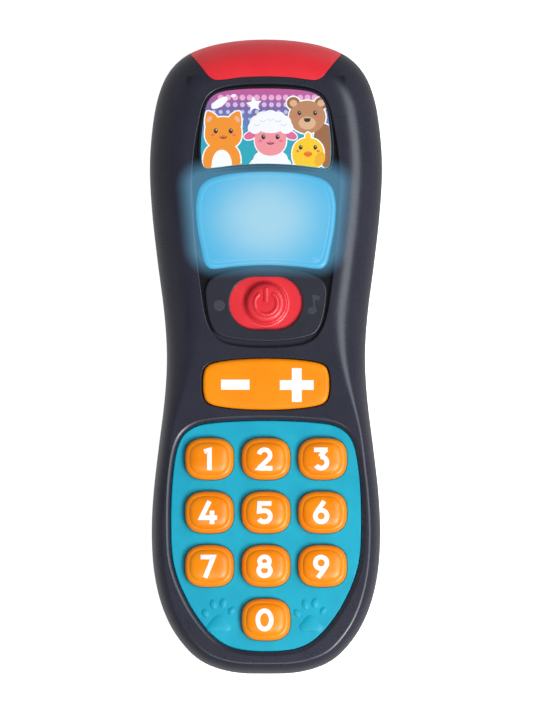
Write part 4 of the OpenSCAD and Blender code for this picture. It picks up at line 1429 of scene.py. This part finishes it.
def batteryCell(side, way, name, node):    # turned about its own long axis, nub towards +Y when way is 1
    low, high = boxOf(node)
    length, radius, nub = cell["length"], cell["radius"], cell["nub"]
    profile = [(radius - 1.5, 0), (radius - 1.1, 0.25), (radius - 0.45, 0.1), (radius - 0.15, 0.3),
               (radius, 0.6),
               (radius, length - 1.5), (radius - 0.12, length - 1.15), (radius - 0.5, length - 0.95),
               (radius - 0.9, length - 1.05), (radius - 1.3, length - 0.85), (nub + 0.5, length - 0.85),
               (nub + 0.15, length - 0.75), (nub, length - 0.5), (nub, length - 0.2), (nub - 0.2, length)]
    start = low[1] if way > 0 else high[1]
    rings = []
    for r, along in profile:
        turn = circle(r, count=56)
        rings.append([(side * cell["x"] + x * way, start + way * along, cell["z"] + z) for x, z in turn])
    base = Form().rings([ring[::-1] for ring in rings]).toObject("cell")
    placed(base, name, looks["cell_wrap"], "case", [node], 28)


batteryDoor()
allScrews()
springs()
batteryCell(-1, 1, "batteryLeft", "battery_left")
batteryCell(1, -1, "batteryRight", "battery_right")


# CAD pieces that keep their shape

print("pieces kept from the frame")
for part in frame["record"]["subparts"]:
    obj = nodes[part["node"]]
    obj.data.materials.clear()
    obj.data.materials.append(looks[part["material_slot"]])


# floor, lights and camera

print("stage")
studio = {"floor": (200, 200, 202), "floorGlow": 0.9, "zenith": 0.17, "horizon": 0.42, "left": -0.1,
          "key": {"at": (0.42, -0.42, 0.72), "size": (0.26, 0.26), "radiance": 19.0,
                  "tint": (1.0, 0.99, 0.97)},
          "wide": {"at": (0.381, -0.03, 0.575), "size": (0.6, 0.3), "radiance": 4.2,
                   "tint": (0.93, 0.98, 1.05)},
          "low": {"at": (0.05, -0.27, 0.6), "size": (0.5, 0.08), "radiance": 7.0, "tint": (0.93, 0.98, 1.05)}}
camera = {"lens": 500, "at": (0.00013, 0.00094), "height": 2.621 + 0.02}


def floorPaint():
    material, kit = blank("floorPaint")
    spot, _ = kit.place()
    cloud = kit.noise(spot, 60, 3)
    fine = kit.noise(spot, 1.5, 2)
    surface = kit.node("ShaderNodeBsdfPrincipled", {}, {
        "Base Color": kit.mix(tone(*studio["floor"]), tone(250, 250, 251), cloud),
        "Roughness": 0.7 + fine * 0.1,
        "Specular IOR Level": 0.2, "Emission Color": (1, 1, 1, 1), "Emission Strength": studio["floorGlow"]})
    behind = kit.node("ShaderNodeNewGeometry", {}, {}, "Backfacing")
    clear = kit.node("ShaderNodeBsdfTransparent")
    kit.node("ShaderNodeOutputMaterial", {},
             {"Surface": kit.node("ShaderNodeMixShader", {}, [behind, surface, clear])})
    return material


def floorSheet():
    form = Form()
    low = form.add(lift(roundRect((-1600, -1600), (1600, 1600), 200), 0))
    form.face(range(low, len(form.points)))
    sheet = form.toObject("floorSheet")
    sheet.data.transform(Matrix.Scale(mm, 4))
    sheet.data.materials.append(floorPaint())
    sheet.visible_glossy = False    # keeps the charcoal's edges deep


def softLight(name, at, size, radiance, tint):
    lamp = bpy.data.lights.new(name, "AREA")
    lamp.shape, lamp.size, lamp.size_y = "RECTANGLE", *size
    lamp.energy, lamp.color = math.pi * radiance * size[0] * size[1], tint
    obj = bpy.data.objects.new(name, lamp)
    obj.location = at
    obj.rotation_euler = (-Vector(at)).to_track_quat("-Z", "Y").to_euler()
    bpy.context.scene.collection.objects.link(obj)


def room():
    world = bpy.data.worlds.new("room")
    bpy.context.scene.world = world
    world.use_nodes = True
    world.node_tree.nodes.clear()
    kit = NodeKit(world.node_tree)
    way = kit.node("ShaderNodeTexCoord", out="Generated")
    x, _, z = (kit.node("ShaderNodeSeparateXYZ", {}, [way], k) for k in range(3))
    level = studio["horizon"] + (studio["zenith"] - studio["horizon"]) * z.above(0).over(0.1, 0.95)
    level = level * (1 + x * studio["left"])
    kit.node("ShaderNodeOutputWorld", {},
             {"Surface": kit.node("ShaderNodeBackground", {}, {"Strength": level})})


floorSheet()
for name in ("key", "wide", "low"):
    softLight(name + "Light", **studio[name])
room()
eye = bpy.data.cameras.new("eye")
eye.lens = camera["lens"]
eyeObject = bpy.data.objects.new("eye", eye)
eyeObject.location = (*camera["at"], camera["height"])
bpy.context.scene.collection.objects.link(eyeObject)
bpy.context.scene.camera = eyeObject
bpy.context.scene.view_settings.view_transform = "Standard"

print("done")
